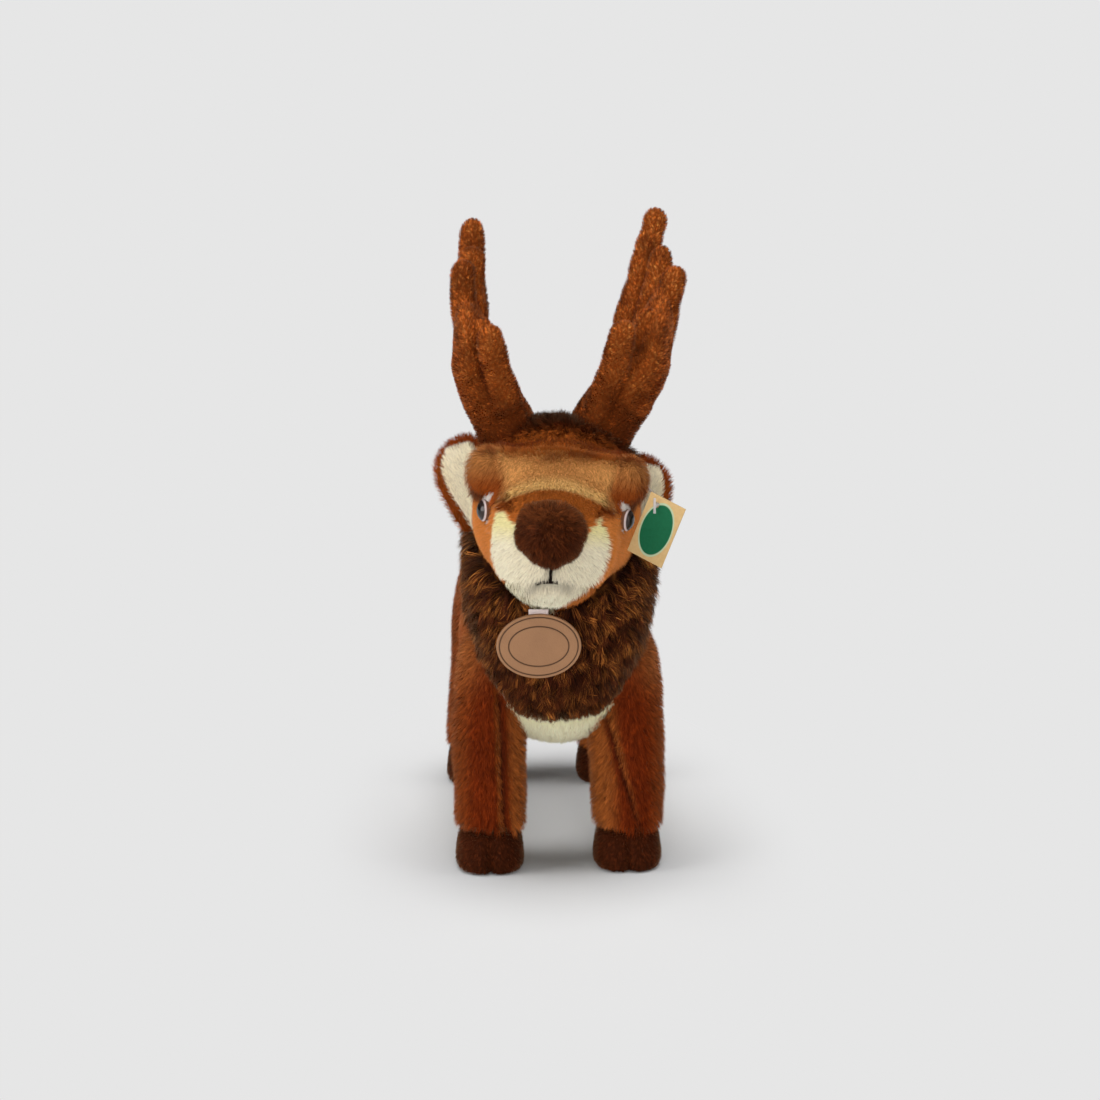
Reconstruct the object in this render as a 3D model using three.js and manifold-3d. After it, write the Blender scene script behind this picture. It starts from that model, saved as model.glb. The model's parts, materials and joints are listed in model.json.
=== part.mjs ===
// A standing plush stag, about 31 cm tall: sewn covers, the fillings inside them, glass-like
// safety eyes, padded antlers, a medallion on a ribbon and a card tag on the ear.
// Millimetres, +Z up. The animal faces -Y, and its left side in a front view is -X.
import * as THREE from "three";
import { mergeVertices } from "three/addons/utils/BufferGeometryUtils.js";
import Module from "manifold-3d";

const wasm = await Module();
wasm.setup();

// Cloth and clearances
const gap = 0.3; // between two pieces that touch
const cloth = 2.6; // plush cloth with its flattened pile
const velour = 2.2; // the shorter cloth of the antlers and hooves
const overrun = 200; // how far a cutting block runs past the piece
const weld = 0.0003; // points nearer than this are one

// Torso
const torso = {
  length: 194,
  frontY: -99,
  bottomZ: 58,
  halfWidth: 45.5,
  height: 104,
  chestDome: 30,
  rumpDome: 34,
  square: 2.05,
  // along, half width, top, bottom
  shares: [
    [0, 0.8, 0.58, 0.18],
    [0.12, 0.93, 0.66, 0.03],
    [0.28, 1, 0.86, 0],
    [0.4, 0.98, 0.97, 0.02],
    [0.55, 0.92, 0.94, 0.06],
    [0.72, 0.95, 0.97, 0.1],
    [0.9, 0.85, 0.92, 0.22],
    [1, 0.74, 0.84, 0.34],
  ],
};

// Cream belly
const belly = { halfWidth: 25, topZ: 86, fromRump: 33 };

// Mane round the neck and over the chest
const mane = {
  bottomZ: 77,
  height: 113,
  halfWidth: 44,
  frontY: -124,
  depth: 94,
  hemDome: 9,
  topDome: 14,
  square: 2.2,
  // up, half width, back, front
  shares: [
    [0, 0.44, 0.46, 0.17],
    [0.14, 0.68, 0.6, 0.11],
    [0.32, 0.87, 0.8, 0.03],
    [0.49, 0.98, 0.93, 0],
    [0.66, 1, 1, 0.05],
    [0.82, 0.93, 0.95, 0.14],
    [1, 0.8, 0.86, 0.26],
  ],
};

// Legs
const frontLeg = {
  x: 33,
  y: -74,
  bottomZ: 16.5,
  height: 108,
  halfWidth: 17.5,
  halfDepth: 18.5,
  hoofShare: 1,
  footDome: 6,
  topDome: 24,
  square: 2.3,
  // up, half width, back, front, shift towards the middle
  shares: [
    [0, 0.96, 0.9, 0.95, 0],
    [0.27, 1, 1, 0.96, 0],
    [0.55, 1.04, 1.3, 0.9, 0.04],
    [0.8, 1, 1.6, 0.8, 0.14],
    [1, 0.8, 1.3, 0.5, 0.3],
  ],
};
const hindLeg = {
  x: 34.6,
  fromRump: 18,
  bottomZ: 16.5,
  height: 120,
  halfWidth: 16.4,
  halfDepth: 18.5,
  hoofShare: 0.945, // of the front hooves' width
  footDome: 6,
  topDome: 30,
  square: 2.3,
  shares: [
    [0, 0.94, 0.95, 0.95, 0],
    [0.22, 0.93, 1.02, 0.88, 0.04],
    [0.42, 0.96, 1.06, 1.3, 0.16],
    [0.68, 1.04, 1.08, 2.1, 0.34],
    [1, 0.85, 0.7, 1.7, 0.55],
  ],
};
const rumpY = torso.frontY + torso.length;
hindLeg.y = rumpY - hindLeg.fromRump;

// Hooves
const hoof = {
  halfWidth: 16.3,
  halfDepth: 17.8,
  forward: 3, // how far the hoof stands in front of the leg's middle
  topShare: 0.87, // width at the top against the sole
  soleDome: 8,
  square: 2.5,
  cleftDepth: 3.2,
  cleftHalfWidth: 2.6,
  cleftFadeShare: 1.4, // of the height, where the cleft has run out
};

// Tail
const tail = {
  bottomZ: 110,
  height: 42,
  halfWidth: 12,
  pastRump: 11,
  depth: 18,
  dome: 12,
  // up, half width, back, front
  shares: [
    [0, 0.7, 0.1, 1],
    [0.4, 1, 0, 1],
    [1, 0.7, 0.5, 1.4],
  ],
};

// Head, in its own frame: x to the side, y backwards, z up from the middle of the skull
const head = {
  x: -1.5,
  y: -86,
  intoMane: 14, // how far the middle of the skull lies below the top of the mane
  yaw: THREE.MathUtils.degToRad(-5),
  roll: THREE.MathUtils.degToRad(3.7),
  backY: 42,
  length: 101,
  halfWidth: 38.8,
  top: 34.5,
  bottom: 39.5,
  backDome: 30,
  frontDome: 17,
  square: 2.35,
  jawShare: 0.4, // of the width, by which the head narrows to the bottom of the chin
  // forward, half width, top, bottom
  shares: [
    [0, 0.74, 0.76, 0.7],
    [0.14, 0.84, 0.86, 0.8],
    [0.28, 0.95, 0.96, 0.92],
    [0.42, 1, 1, 0.98],
    [0.54, 0.98, 0.98, 1],
    [0.65, 0.88, 0.88, 1],
    [0.76, 0.77, 0.7, 1],
    [0.86, 0.71, 0.5, 0.99],
    [1, 0.62, 0.36, 0.9],
  ],
};
const headFrontY = head.backY - head.length; // the front of the muzzle
const headPlace = [head.x, head.y, mane.bottomZ + mane.height - head.intoMane];
const fromHead = (offset) => offset.map((value, i) => headPlace[i] + value);
const brow = { halfLength: 41, fromFace: 39, z: 18.5, halfDepth: 13, halfHeight: 11.5, dome: 9, square: 2.8 };
const crown = { y: 3, z: 19, halfWidth: 35, halfDepth: 22, halfHeight: 22.5 };
// How far behind the face the seams run, and how high
const seams = {
  crownFromFace: 42, // across the head, from side to side
  foreheadHalfWidth: 25,
  browBottomZ: 7,
  muzzleFromFace: 18, // cream cloth lies in front of this
  muzzleTopZ: 5,
  smileZ: -25,
  chinHalfWidth: 20,
  chinBackFromFace: 37,
};
const crownSeamY = headFrontY + seams.crownFromFace;
const muzzleSeamY = headFrontY + seams.muzzleFromFace;
const chinSeamY = headFrontY + seams.chinBackFromFace;
const nose = { fromFace: 2, z: -2.3, halfWidth: 16.8, halfDepth: 12.6, halfHeight: 15.6 };
const thread = {
  radius: 0.8,
  sides: 6,
  topZ: -16.5,
  forkZ: -23.6,
  left: 8,
  right: 12,
  drop: 2.6, // of the smile's ends
  downShares: [0, 0.5, 1],
  downSteps: 3,
  smileShares: [-1, -0.6, -0.2, 0.2, 0.6, 1],
  smileSteps: 8,
};

// Eyes
const eye = {
  fromFace: 30.5,
  z: 1.5,
  facing: THREE.MathUtils.degToRad(21), // turned forwards from straight sideways
  radius: 6,
  bulge: 3.4,
  stemRadius: 1.7,
  stemLength: 13,
  ribDepth: 0.4,
  ribs: 3,
  ribPitchShare: 0.8, // along the free end of the stem
  ribCrestShare: 0.1,
  ribFootShare: 0.6,
  domeSteps: 4,
  sides: 10,
  washerDepth: 6.2, // below the cloth, where the padding holds it
  washerRadius: 5.6,
  washerThickness: 1.6,
  patchHalfHeight: 11,
  patchHalfWidth: 9.5,
  patchThickness: 1.2,
  patchSides: 18,
};

// Ears, each an open leaf folded along its middle
const ear = {
  length: 44,
  halfWidth: 13.5,
  thickness: 2.4,
  cup: 8,
  cupFromShare: 0.4, // how far below the root the cup begins
  steps: 6,
  rim: 4.2, // how far the brown cloth stands past the cream lining
  liningGap: 0.9,
  leastShare: 1 / 3, // of the width that the lining keeps
  x: 35,
  y: 4,
  leftBelow: 14, // the root below the middle of the skull
  rightBelow: 19,
  leftLean: THREE.MathUtils.degToRad(20), // outwards
  rightLean: THREE.MathUtils.degToRad(8),
  turn: THREE.MathUtils.degToRad(20), // the open side turned outwards
  tilt: THREE.MathUtils.degToRad(6), // backwards
  // up, half width
  leafShares: [
    [0, 0.42],
    [0.25, 0.68],
    [0.5, 0.92],
    [0.72, 1],
    [0.88, 0.8],
    [0.97, 0.42],
    [1, 0.16],
  ],
};

// Antlers, in the frame of each antler's foot: x outwards, y backwards, z up
const antler = {
  footBehind: 10, // the middle of the skull
  footAbove: 30,
  footRadius: 12,
  palmRadius: 9.4,
  tipRadius: 5.8,
  // up, half thickness, back, front, out, as shares of the height
  palmShares: [
    [-0.1, 0.145, 0.12, -0.13, -0.03],
    [0.06, 0.145, 0.12, -0.14, -0.02],
    [0.2, 0.142, 0.15, -0.18, 0.025],
    [0.36, 0.1, 0.23, -0.22, 0.09],
    [0.54, 0.075, 0.27, -0.2, 0.09],
    [0.7, 0.062, 0.27, -0.08, 0.085],
  ],
  palmDomeShare: 0.2,
  tipShares: [0.45, 0.88], // where the rings of a domed tip lie
};
const antlerSides = {
  // footX is how far the foot stands to the side of the middle of the skull. Each tine has its start,
  // bend and tip as shares of the height: out, back, up
  left: {
    side: -1,
    footX: -23.9,
    height: 102,
    lean: THREE.MathUtils.degToRad(7.4),
    tineShares: [
      [[-0.05, -0.05, 0.06], [-0.01, -0.17, 0.3], [-0.015, -0.27, 0.56]],
      [[0.03, -0.03, 0.12], [0.08, -0.09, 0.36], [0.02, -0.12, 0.58]],
      [[0.05, 0, 0.12], [0.12, 0.02, 0.42], [0.085, 0.04, 0.83]],
      [[0.04, 0.03, 0.12], [0.12, 0.11, 0.42], [0.04, 0.18, 0.87]],
      [[0.02, 0.06, 0.08], [0.135, 0.2, 0.42], [0.025, 0.31, 1]],
    ],
  },
  right: {
    side: 1,
    footX: 22.6,
    height: 109,
    lean: THREE.MathUtils.degToRad(14.6),
    tineShares: [
      [[-0.05, -0.05, 0.06], [-0.035, -0.17, 0.3], [-0.045, -0.27, 0.54]],
      [[0.03, -0.03, 0.12], [0.09, -0.09, 0.36], [0.04, -0.12, 0.6]],
      [[0.05, 0, 0.12], [0.13, 0.02, 0.42], [0.115, 0.04, 0.79]],
      [[0.04, 0.03, 0.12], [0.08, 0.11, 0.42], [0.035, 0.18, 0.85]],
      [[-0.01, 0.06, 0.08], [-0.02, 0.2, 0.42], [-0.022, 0.31, 0.985]],
    ],
  },
};

// Medallion on a ribbon that is sewn into the seam under the chin
const medallion = {
  halfWidth: 19.2,
  halfHeight: 14.8,
  thickness: 2.4,
  rimInset: 1.8,
  rimWidth: 0.9,
  rimDepth: 0.5,
  belowSeam: 16.5, // its middle
  corners: 28,
};
const ribbon = {
  width: 9,
  thickness: 0.8,
  overlap: 12,
  seamAside: 11, // to the left of the middle of the skull
  seamFromFace: 14,
  seamBelow: 39,
};
ribbon.seam = fromHead([-ribbon.seamAside, headFrontY + ribbon.seamFromFace, -ribbon.seamBelow]);

// Card tag on the right ear and the plastic tack that holds it
const tag = {
  width: 18,
  height: 30,
  thickness: 0.9,
  holeRadius: 1.5,
  holeSides: 10,
  holeFromTop: 4.4,
  lean: THREE.MathUtils.degToRad(22.5),
  yaw: THREE.MathUtils.degToRad(-28),
  holeAside: 42.7,
  holeFromFace: 21,
  holeAbove: 7.4,
};
tag.hole = fromHead([tag.holeAside, headFrontY + tag.holeFromFace, tag.holeAbove]);
// The hole lies straight above the middle of the leaning card, as it hangs.
tag.holeFromSide = tag.width / 2 - (tag.height / 2 - tag.holeFromTop) * Math.tan(tag.lean);
const tack = {
  radius: 0.6,
  sides: 5,
  steps: 7,
  barLength: 7,
  earHoleAside: 42,
  earHoleBehind: 2, // the middle of the skull
  earHoleAbove: 9,
  behindEar: 7, // room between the ear and its bar
  behindCard: 5,
  beforeCard: 2.4,
};
tack.earHole = fromHead([tack.earHoleAside, tack.earHoleBehind, tack.earHoleAbove]);

// How finely round forms are divided
const domeShare = 0.25; // of the steps along a form that lie in a dome
const tipShare = 1 / 6; // how near the end of a dome its last ring lies
const halvings = 30; // of the search for the surface of the face
const fine = { around: 18, along: 9 };
const plain = { around: 12, along: 6 };
const small = { around: 12, along: 3 };
const coarse = { around: 8, along: 4 };
const tineFine = { around: 8, along: 3 };
const tineCoarse = { around: 6, along: 2 };

const colours = {
  plush: 0x8a4a20,
  tan: 0xb07a44,
  mane: 0x3c2412,
  cream: 0xe6dfc4,
  dark: 0x3a1c10,
  antler: 0x7d4120,
  glass: 0x120c0a,
  felt: 0xd8d6d0,
  thread: 0x15100e,
  leather: 0xa98262,
  ribbon: 0xe8d8d4,
  card: 0xc2a273,
  clear: 0xdcdcdc,
  filling: 0xf2f0ea,
  washer: 0xe0e0dc,
};
const looks = {
  cloth: { roughness: 0.95 },
  glass: { roughness: 0.15 },
  leather: { roughness: 0.6 },
  clear: { roughness: 0.3 },
  washer: { roughness: 0.5 },
};

// Solids and geometry

function solidOf(geometry) {
  const bare = geometry.clone();
  bare.deleteAttribute("normal");
  bare.deleteAttribute("uv");
  const merged = mergeVertices(bare, weld);
  const triVerts = new Uint32Array(merged.index.array);
  const vertProperties = merged.attributes.position.array;
  if (signedVolume(vertProperties, triVerts) < 0) {
    for (let i = 0; i < triVerts.length; i += 3) {
      [triVerts[i + 1], triVerts[i + 2]] = [triVerts[i + 2], triVerts[i + 1]];
    }
  }
  return new wasm.Manifold(new wasm.Mesh({ numProp: 3, vertProperties, triVerts }));
}

function signedVolume(points, corners) {
  const a = new THREE.Vector3();
  const b = new THREE.Vector3();
  const c = new THREE.Vector3();
  let sum = 0;
  for (let i = 0; i < corners.length; i += 3) {
    a.fromArray(points, corners[i] * 3);
    b.fromArray(points, corners[i + 1] * 3);
    c.fromArray(points, corners[i + 2] * 3);
    sum += a.dot(b.cross(c));
  }
  return sum;
}

function geometryOf(solid) {
  const mesh = solid.getMesh();
  const geometry = new THREE.BufferGeometry();
  const points = new Float32Array(mesh.numVert * 3);
  for (let i = 0; i < mesh.numVert; i++) {
    const start = i * mesh.numProp;
    points.set(mesh.vertProperties.subarray(start, start + 3), i * 3);
  }
  geometry.setAttribute("position", new THREE.BufferAttribute(points, 3));
  geometry.setIndex(new THREE.BufferAttribute(new Uint32Array(mesh.triVerts), 1));
  geometry.computeVertexNormals();
  return geometry;
}

// The biggest body of a cut solid: thin crumbs that a seam leaves belong to nothing.
function biggest(solid) {
  return solid.decompose().reduce((best, next) => (next.volume() > best.volume() ? next : best));
}

function moved(solid, matrix) {
  return solid.transform(matrix.elements);
}

// A closed surface through rings of points, each with the same number of points.
function loft(rings) {
  const around = rings[0].length;
  const points = rings.flat();
  const corners = [];
  for (let i = 0; i + 1 < rings.length; i++) {
    for (let j = 0; j < around; j++) {
      const k = (j + 1) % around;
      const [a, b, c, d] = [i * around + j, i * around + k, (i + 1) * around + k, (i + 1) * around + j];
      corners.push(a, b, c, a, c, d);
    }
  }
  for (const [ring, turned] of [[0, true], [rings.length - 1, false]]) {
    const middle = new THREE.Vector3();
    rings[ring].forEach((point) => middle.add(point));
    points.push(middle.divideScalar(around));
    for (let j = 0; j < around; j++) {
      const [a, b] = [ring * around + j, ring * around + ((j + 1) % around)];
      corners.push(points.length - 1, ...(turned ? [b, a] : [a, b]));
    }
  }
  const geometry = new THREE.BufferGeometry().setFromPoints(points);
  geometry.setIndex(corners);
  return solidOf(geometry);
}

// A value between the rows of a table, on a smooth curve through them.
function between(rows, at, column) {
  const last = rows.length - 1;
  const s = THREE.MathUtils.clamp(at, rows[0][0], rows[last][0]);
  let i = 0;
  while (i < last - 1 && rows[i + 1][0] < s) i++;
  const slope = (k) => {
    const [lo, hi] = [Math.max(k - 1, 0), Math.min(k + 1, last)];
    return (rows[hi][column] - rows[lo][column]) / (rows[hi][0] - rows[lo][0]);
  };
  const span = rows[i + 1][0] - rows[i][0];
  const t = (s - rows[i][0]) / span;
  const [t2, t3] = [t * t, t * t * t];
  return (
    rows[i][column] * (2 * t3 - 3 * t2 + 1) +
    slope(i) * span * (t3 - 2 * t2 + t) +
    rows[i + 1][column] * (3 * t2 - 2 * t3) +
    slope(i + 1) * span * (t3 - t2)
  );
}

const signedPower = (value, power) => Math.sign(value) * Math.abs(value) ** power;

// A padded form that swells and tapers along one direction, with domed ends. Each row holds
// the distance along, the half width, the high and low edge, and the shift of the middle.
class PaddedForm {
  constructor({ rows, domes, square, place, shape }) {
    Object.assign(this, { rows, domes, square, place, shape });
    this.start = rows[0][0];
    this.end = rows[rows.length - 1][0];
  }

  // The section at a distance along, grown outwards by an amount.
  section(s, grow) {
    const fromStart = (s - this.start + grow) / (this.domes[0] + grow);
    const fromEnd = (this.end + grow - s) / (this.domes[1] + grow);
    const near = Math.min(fromStart, fromEnd, 1);
    const size = Math.sqrt(Math.max(0, 1 - (1 - near) ** 2));
    const [half, high, low, shift] = [1, 2, 3, 4].map((column) => between(this.rows, s, column));
    return {
      a: shift,
      b: (high + low) / 2,
      halfA: (half + grow) * size,
      halfB: ((high - low) / 2 + grow) * size,
    };
  }

  holds(s, a, b, grow = 0) {
    if (s <= this.start - grow || s >= this.end + grow) return false;
    const cut = this.section(s, grow);
    const across = Math.abs((a - cut.a) / cut.halfA) ** this.square;
    return across + Math.abs((b - cut.b) / cut.halfB) ** this.square < 1;
  }

  solid({ around, along }, grow = 0) {
    const turns = Math.max(3, Math.round(along * domeShare));
    const [first, last] = [this.start - grow, this.end + grow];
    const distances = [];
    for (let i = 1; i < turns; i++) {
      const lift = 1 - Math.cos(((i / turns) * Math.PI) / 2);
      distances.push(first + (this.domes[0] + grow) * lift, last - (this.domes[1] + grow) * lift);
    }
    const [from, to] = [this.start + this.domes[0], this.end - this.domes[1]];
    const steps = Math.max(2, along - turns);
    for (let i = 0; i <= steps; i++) distances.push(from + ((to - from) * i) / steps);
    const tip = (1 - Math.cos(Math.PI / 2 / turns)) * tipShare;
    distances.push(first + (this.domes[0] + grow) * tip, last - (this.domes[1] + grow) * tip);
    distances.sort((p, q) => p - q);
    return loft(distances.map((s) => this.ring(s, around, grow)));
  }

  ring(s, around, grow) {
    const cut = this.section(s, grow);
    return Array.from({ length: around }, (_, i) => {
      const turn = (2 * Math.PI * i) / around;
      let a = cut.a + cut.halfA * signedPower(Math.cos(turn), 2 / this.square);
      let b = cut.b + cut.halfB * signedPower(Math.sin(turn), 2 / this.square);
      if (this.shape) [a, b] = this.shape(s, a, b, grow);
      return this.place(s, a, b);
    });
  }
}

const alongY = (s, a, b) => new THREE.Vector3(a, s, b);
const alongZ = (s, a, b) => new THREE.Vector3(a, b, s);

function ball({ x = 0, y = 0, z = 0, halfWidth, halfDepth, halfHeight }, { around }, grow = 0) {
  const geometry = new THREE.SphereGeometry(1, around, Math.round(around / 2));
  geometry.scale(halfWidth + grow, halfDepth + grow, halfHeight + grow);
  geometry.translate(x, y, z);
  return solidOf(geometry);
}

function block(low, high) {
  const size = high.map((value, i) => value - low[i]);
  const geometry = new THREE.BoxGeometry(...size);
  geometry.translate(...low.map((value, i) => value + size[i] / 2));
  return solidOf(geometry);
}

function union(solids) {
  return solids.reduce((sum, next) => sum.add(next));
}

function mesh(name, solid, look) {
  const { roughness } = looks[look] ?? looks.cloth;
  const material = new THREE.MeshStandardMaterial({ color: colours[look], roughness, metalness: 0 });
  const made = new THREE.Mesh(geometryOf(solid), material);
  made.name = name;
  return made;
}

// Forms of the body

const torsoForm = new PaddedForm({
  rows: torso.shares.map(([along, half, top, bottom]) => [
    torso.frontY + along * torso.length,
    half * torso.halfWidth,
    torso.bottomZ + top * torso.height,
    torso.bottomZ + bottom * torso.height,
    0,
  ]),
  domes: [torso.chestDome, torso.rumpDome],
  square: torso.square,
  place: alongY,
});

const maneForm = new PaddedForm({
  rows: mane.shares.map(([up, half, back, front]) => [
    mane.bottomZ + up * mane.height,
    half * mane.halfWidth,
    mane.frontY + back * mane.depth,
    mane.frontY + front * mane.depth,
    0,
  ]),
  domes: [mane.hemDome, mane.topDome],
  square: mane.square,
  place: alongZ,
});

function legForm(leg, side) {
  return new PaddedForm({
    rows: leg.shares.map(([up, half, back, front, shift]) => [
      leg.bottomZ + up * leg.height,
      half * leg.halfWidth,
      leg.y + back * leg.halfDepth,
      leg.y - front * leg.halfDepth,
      side * (leg.x - shift * leg.halfWidth),
    ]),
    domes: [leg.footDome, leg.topDome],
    square: leg.square,
    place: alongZ,
  });
}

// The sole is cut flat through the lower dome, and the two toes part at the front.
function hoofForm(leg, side) {
  const middleY = leg.y - hoof.forward;
  const frontY = middleY - hoof.halfDepth;
  const row = (z, share) => [
    z,
    share * hoof.halfWidth * leg.hoofShare,
    middleY + share * hoof.halfDepth,
    middleY - share * hoof.halfDepth,
    side * leg.x,
  ];
  const top = leg.bottomZ + leg.footDome;
  return new PaddedForm({
    rows: [row(-hoof.soleDome / 2, 1), row(leg.bottomZ / 2, 1), row(top, hoof.topShare)],
    domes: [hoof.soleDome, leg.footDome],
    square: hoof.square,
    place: alongZ,
    shape: (z, a, b) => {
      const near = Math.exp(-(((a - side * leg.x) / hoof.cleftHalfWidth) ** 2));
      const front = THREE.MathUtils.clamp((middleY - b) / (middleY - frontY), 0, 1);
      return [a, b + hoof.cleftDepth * near * front * (1 - z / (top * hoof.cleftFadeShare))];
    },
  });
}

const headForm = new PaddedForm({
  rows: head.shares
    .map(([forward, half, top, bottom]) => [
      head.backY - forward * head.length,
      half * head.halfWidth,
      top * head.top,
      -bottom * head.bottom,
      0,
    ])
    .reverse(),
  domes: [head.frontDome, head.backDome],
  square: head.square,
  place: alongY,
  shape: (s, a, b, grow) => {
    const down = Math.max(0, -b / (head.bottom + grow));
    return [a * (1 - head.jawShare * down ** 4), b];
  },
});

// The brows overhang the eyes as one padded ridge from side to side.
const browForm = new PaddedForm({
  rows: [-1, 0, 1].map((share) => [
    share * brow.halfLength,
    brow.halfDepth,
    brow.z + brow.halfHeight,
    brow.z - brow.halfHeight,
    headFrontY + brow.fromFace,
  ]),
  domes: [brow.dome, brow.dome],
  square: brow.square,
  place: (s, a, b) => new THREE.Vector3(s, a, b),
});

function headSolid(detail, grow = 0) {
  return headForm.solid(detail, grow).add(browForm.solid(detail, grow));
}

const headMatrix = new THREE.Matrix4().compose(
  new THREE.Vector3(...headPlace),
  new THREE.Quaternion().setFromEuler(new THREE.Euler(0, head.roll, head.yaw, "ZYX")),
  new THREE.Vector3(1, 1, 1),
);

const torsoSolid = torsoForm.solid(fine);
const torsoGrown = torsoForm.solid(fine, gap);
const headGrown = moved(headSolid(fine, gap), headMatrix);
const crownSolid = (grow) => ball(crown, plain, grow);
const noseSolid = (grow) => ball({ ...nose, y: headFrontY + nose.fromFace }, plain, grow);
const crownGrown = moved(crownSolid(gap), headMatrix);

// Torso: a cover that is open along the belly, the cream panel that closes it, and the filling

function torsoPieces() {
  const inner = torsoForm.solid(coarse, -cloth);
  const shell = torsoSolid.subtract(inner);
  const bellyBlock = (grow) =>
    block(
      [-belly.halfWidth - grow, torso.frontY - overrun, torso.bottomZ - overrun],
      [belly.halfWidth + grow, rumpY - belly.fromRump + grow, belly.topZ + grow],
    );
  return [
    mesh("torso_cover", biggest(shell.subtract(bellyBlock(gap))), "plush"),
    mesh("belly_panel", biggest(shell.intersect(bellyBlock(0))), "cream"),
    mesh("torso_filling", torsoForm.solid(coarse, -cloth - gap), "filling"),
  ];
}

function neckPieces() {
  const cut = (solid) => biggest(solid.subtract(torsoGrown).subtract(headGrown));
  const shell = maneForm.solid(fine).subtract(maneForm.solid(coarse, -cloth));
  return [
    mesh("mane_cover", cut(shell), "mane"),
    mesh("neck_filling", cut(maneForm.solid(coarse, -cloth - gap)), "filling"),
  ];
}

function legPieces(place, leg) {
  return [
    ["left", -1],
    ["right", 1],
  ].flatMap(([sideName, side]) => {
    const name = `${place}_${sideName}`;
    const form = legForm(leg, side);
    const foot = hoofForm(leg, side);
    const floor = block([-overrun, -overrun, -overrun], [overrun, overrun, 0]);
    const hoofOuter = (grow) => foot.solid(small, grow).subtract(floor);
    const hollow = foot.solid(coarse, -velour).subtract(floor.translate([0, 0, velour]));
    const legTop = maneForm.solid(fine, gap).add(torsoGrown);
    const cover = form.solid(plain).subtract(form.solid(coarse, -cloth)).subtract(hoofOuter(gap));
    const hoofShell = hoofOuter(0).subtract(hollow).subtract(form.solid(coarse, -cloth));
    const padding = form
      .solid(coarse, -cloth - gap)
      .add(foot.solid(coarse, -velour - gap).subtract(floor.translate([0, 0, velour + gap])));
    return [
      mesh(`leg_${name}`, biggest(cover.subtract(legTop)), "plush"),
      mesh(`leg_filling_${name}`, biggest(padding.subtract(legTop)), "filling"),
      mesh(`hoof_${name}`, biggest(hoofShell), "dark"),
    ];
  });
}

function tailPiece() {
  const form = new PaddedForm({
    rows: tail.shares.map(([up, half, back, front]) => [
      tail.bottomZ + up * tail.height,
      half * tail.halfWidth,
      rumpY + tail.pastRump - back * tail.depth,
      rumpY + tail.pastRump - front * tail.depth,
      0,
    ]),
    domes: [tail.dome, tail.dome],
    square: 2,
    place: alongZ,
  });
  return mesh("tail", biggest(form.solid(small).subtract(torsoGrown)), "plush");
}

// Head: cloth panels over one filling, meeting at seams

// A block that is open-ended wherever a limit is left out.
function region(limits, grow = 0) {
  const low = ["x", "y", "z"].map((axis) => (limits[axis]?.[0] ?? -overrun) - grow);
  const high = ["x", "y", "z"].map((axis) => (limits[axis]?.[1] ?? overrun) + grow);
  return block(low, high);
}

const panelRegions = {
  forehead: {
    x: [-seams.foreheadHalfWidth, seams.foreheadHalfWidth],
    y: [undefined, crownSeamY],
    z: [seams.muzzleTopZ + gap, undefined],
  },
  brow_left: {
    x: [undefined, -seams.foreheadHalfWidth - gap],
    y: [muzzleSeamY + gap, crownSeamY],
    z: [seams.browBottomZ, undefined],
  },
  brow_right: {
    x: [seams.foreheadHalfWidth + gap, undefined],
    y: [muzzleSeamY + gap, crownSeamY],
    z: [seams.browBottomZ, undefined],
  },
  muzzle: { y: [undefined, muzzleSeamY], z: [seams.smileZ, seams.muzzleTopZ] },
  chin: {
    x: [-seams.chinHalfWidth, seams.chinHalfWidth],
    y: [undefined, chinSeamY],
    z: [undefined, seams.smileZ - gap],
  },
};
const panelLooks = {
  forehead: "tan",
  brow_left: "plush",
  brow_right: "plush",
  muzzle: "cream",
  chin: "cream",
};

// The point of the face straight in front of x and z.
function faceY(x, z) {
  let [outside, inside] = [head.backY - head.length - gap, 0];
  for (let i = 0; i < halvings; i++) {
    const middle = (outside + inside) / 2;
    if (headForm.holds(middle, x, z)) inside = middle;
    else outside = middle;
  }
  return outside;
}

function tube(points, radius, sides, steps) {
  const section = new THREE.Shape();
  for (let i = 0; i <= sides; i++) {
    const turn = (2 * Math.PI * i) / sides;
    const [x, y] = [radius * Math.cos(turn), radius * Math.sin(turn)];
    if (i === 0) section.moveTo(x, y);
    else section.lineTo(x, y);
  }
  const extrudePath = new THREE.CatmullRomCurve3(points);
  return solidOf(new THREE.ExtrudeGeometry(section, { extrudePath, steps, bevelEnabled: false }));
}

function mouthSolid() {
  const onFace = (x, z) => new THREE.Vector3(x, faceY(x, z) - thread.radius - gap, z);
  const down = thread.downShares.map((share) => onFace(0, thread.topZ + share * (thread.forkZ - thread.topZ)));
  const smile = thread.smileShares.map((share) => {
    const reach = share < 0 ? thread.left : thread.right;
    return onFace(share * reach, thread.forkZ - thread.drop * share ** 2);
  });
  const { radius, sides, downSteps, smileSteps } = thread;
  return union([tube(down, radius, sides, downSteps), tube(smile, radius, sides, smileSteps)]);
}

// Where an eye sits: its own z points out of the head.
function eyeMatrix(side) {
  const cut = headForm.section(headFrontY + eye.fromFace, 0);
  const rise = Math.abs((eye.z - cut.b) / cut.halfB) ** head.square;
  const x = cut.halfA * (1 - rise) ** (1 / head.square);
  const out = new THREE.Vector3(side * Math.cos(eye.facing), -Math.sin(eye.facing), 0);
  const matrix = new THREE.Matrix4().lookAt(out, new THREE.Vector3(), new THREE.Vector3(0, 0, 1));
  return matrix.setPosition(side * x, headFrontY + eye.fromFace, eye.z);
}

function lathe(profile, segments) {
  const points = profile.map(([r, z]) => new THREE.Vector2(r, z));
  const geometry = new THREE.LatheGeometry(points, segments);
  geometry.rotateX(Math.PI / 2);
  return solidOf(geometry);
}

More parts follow.
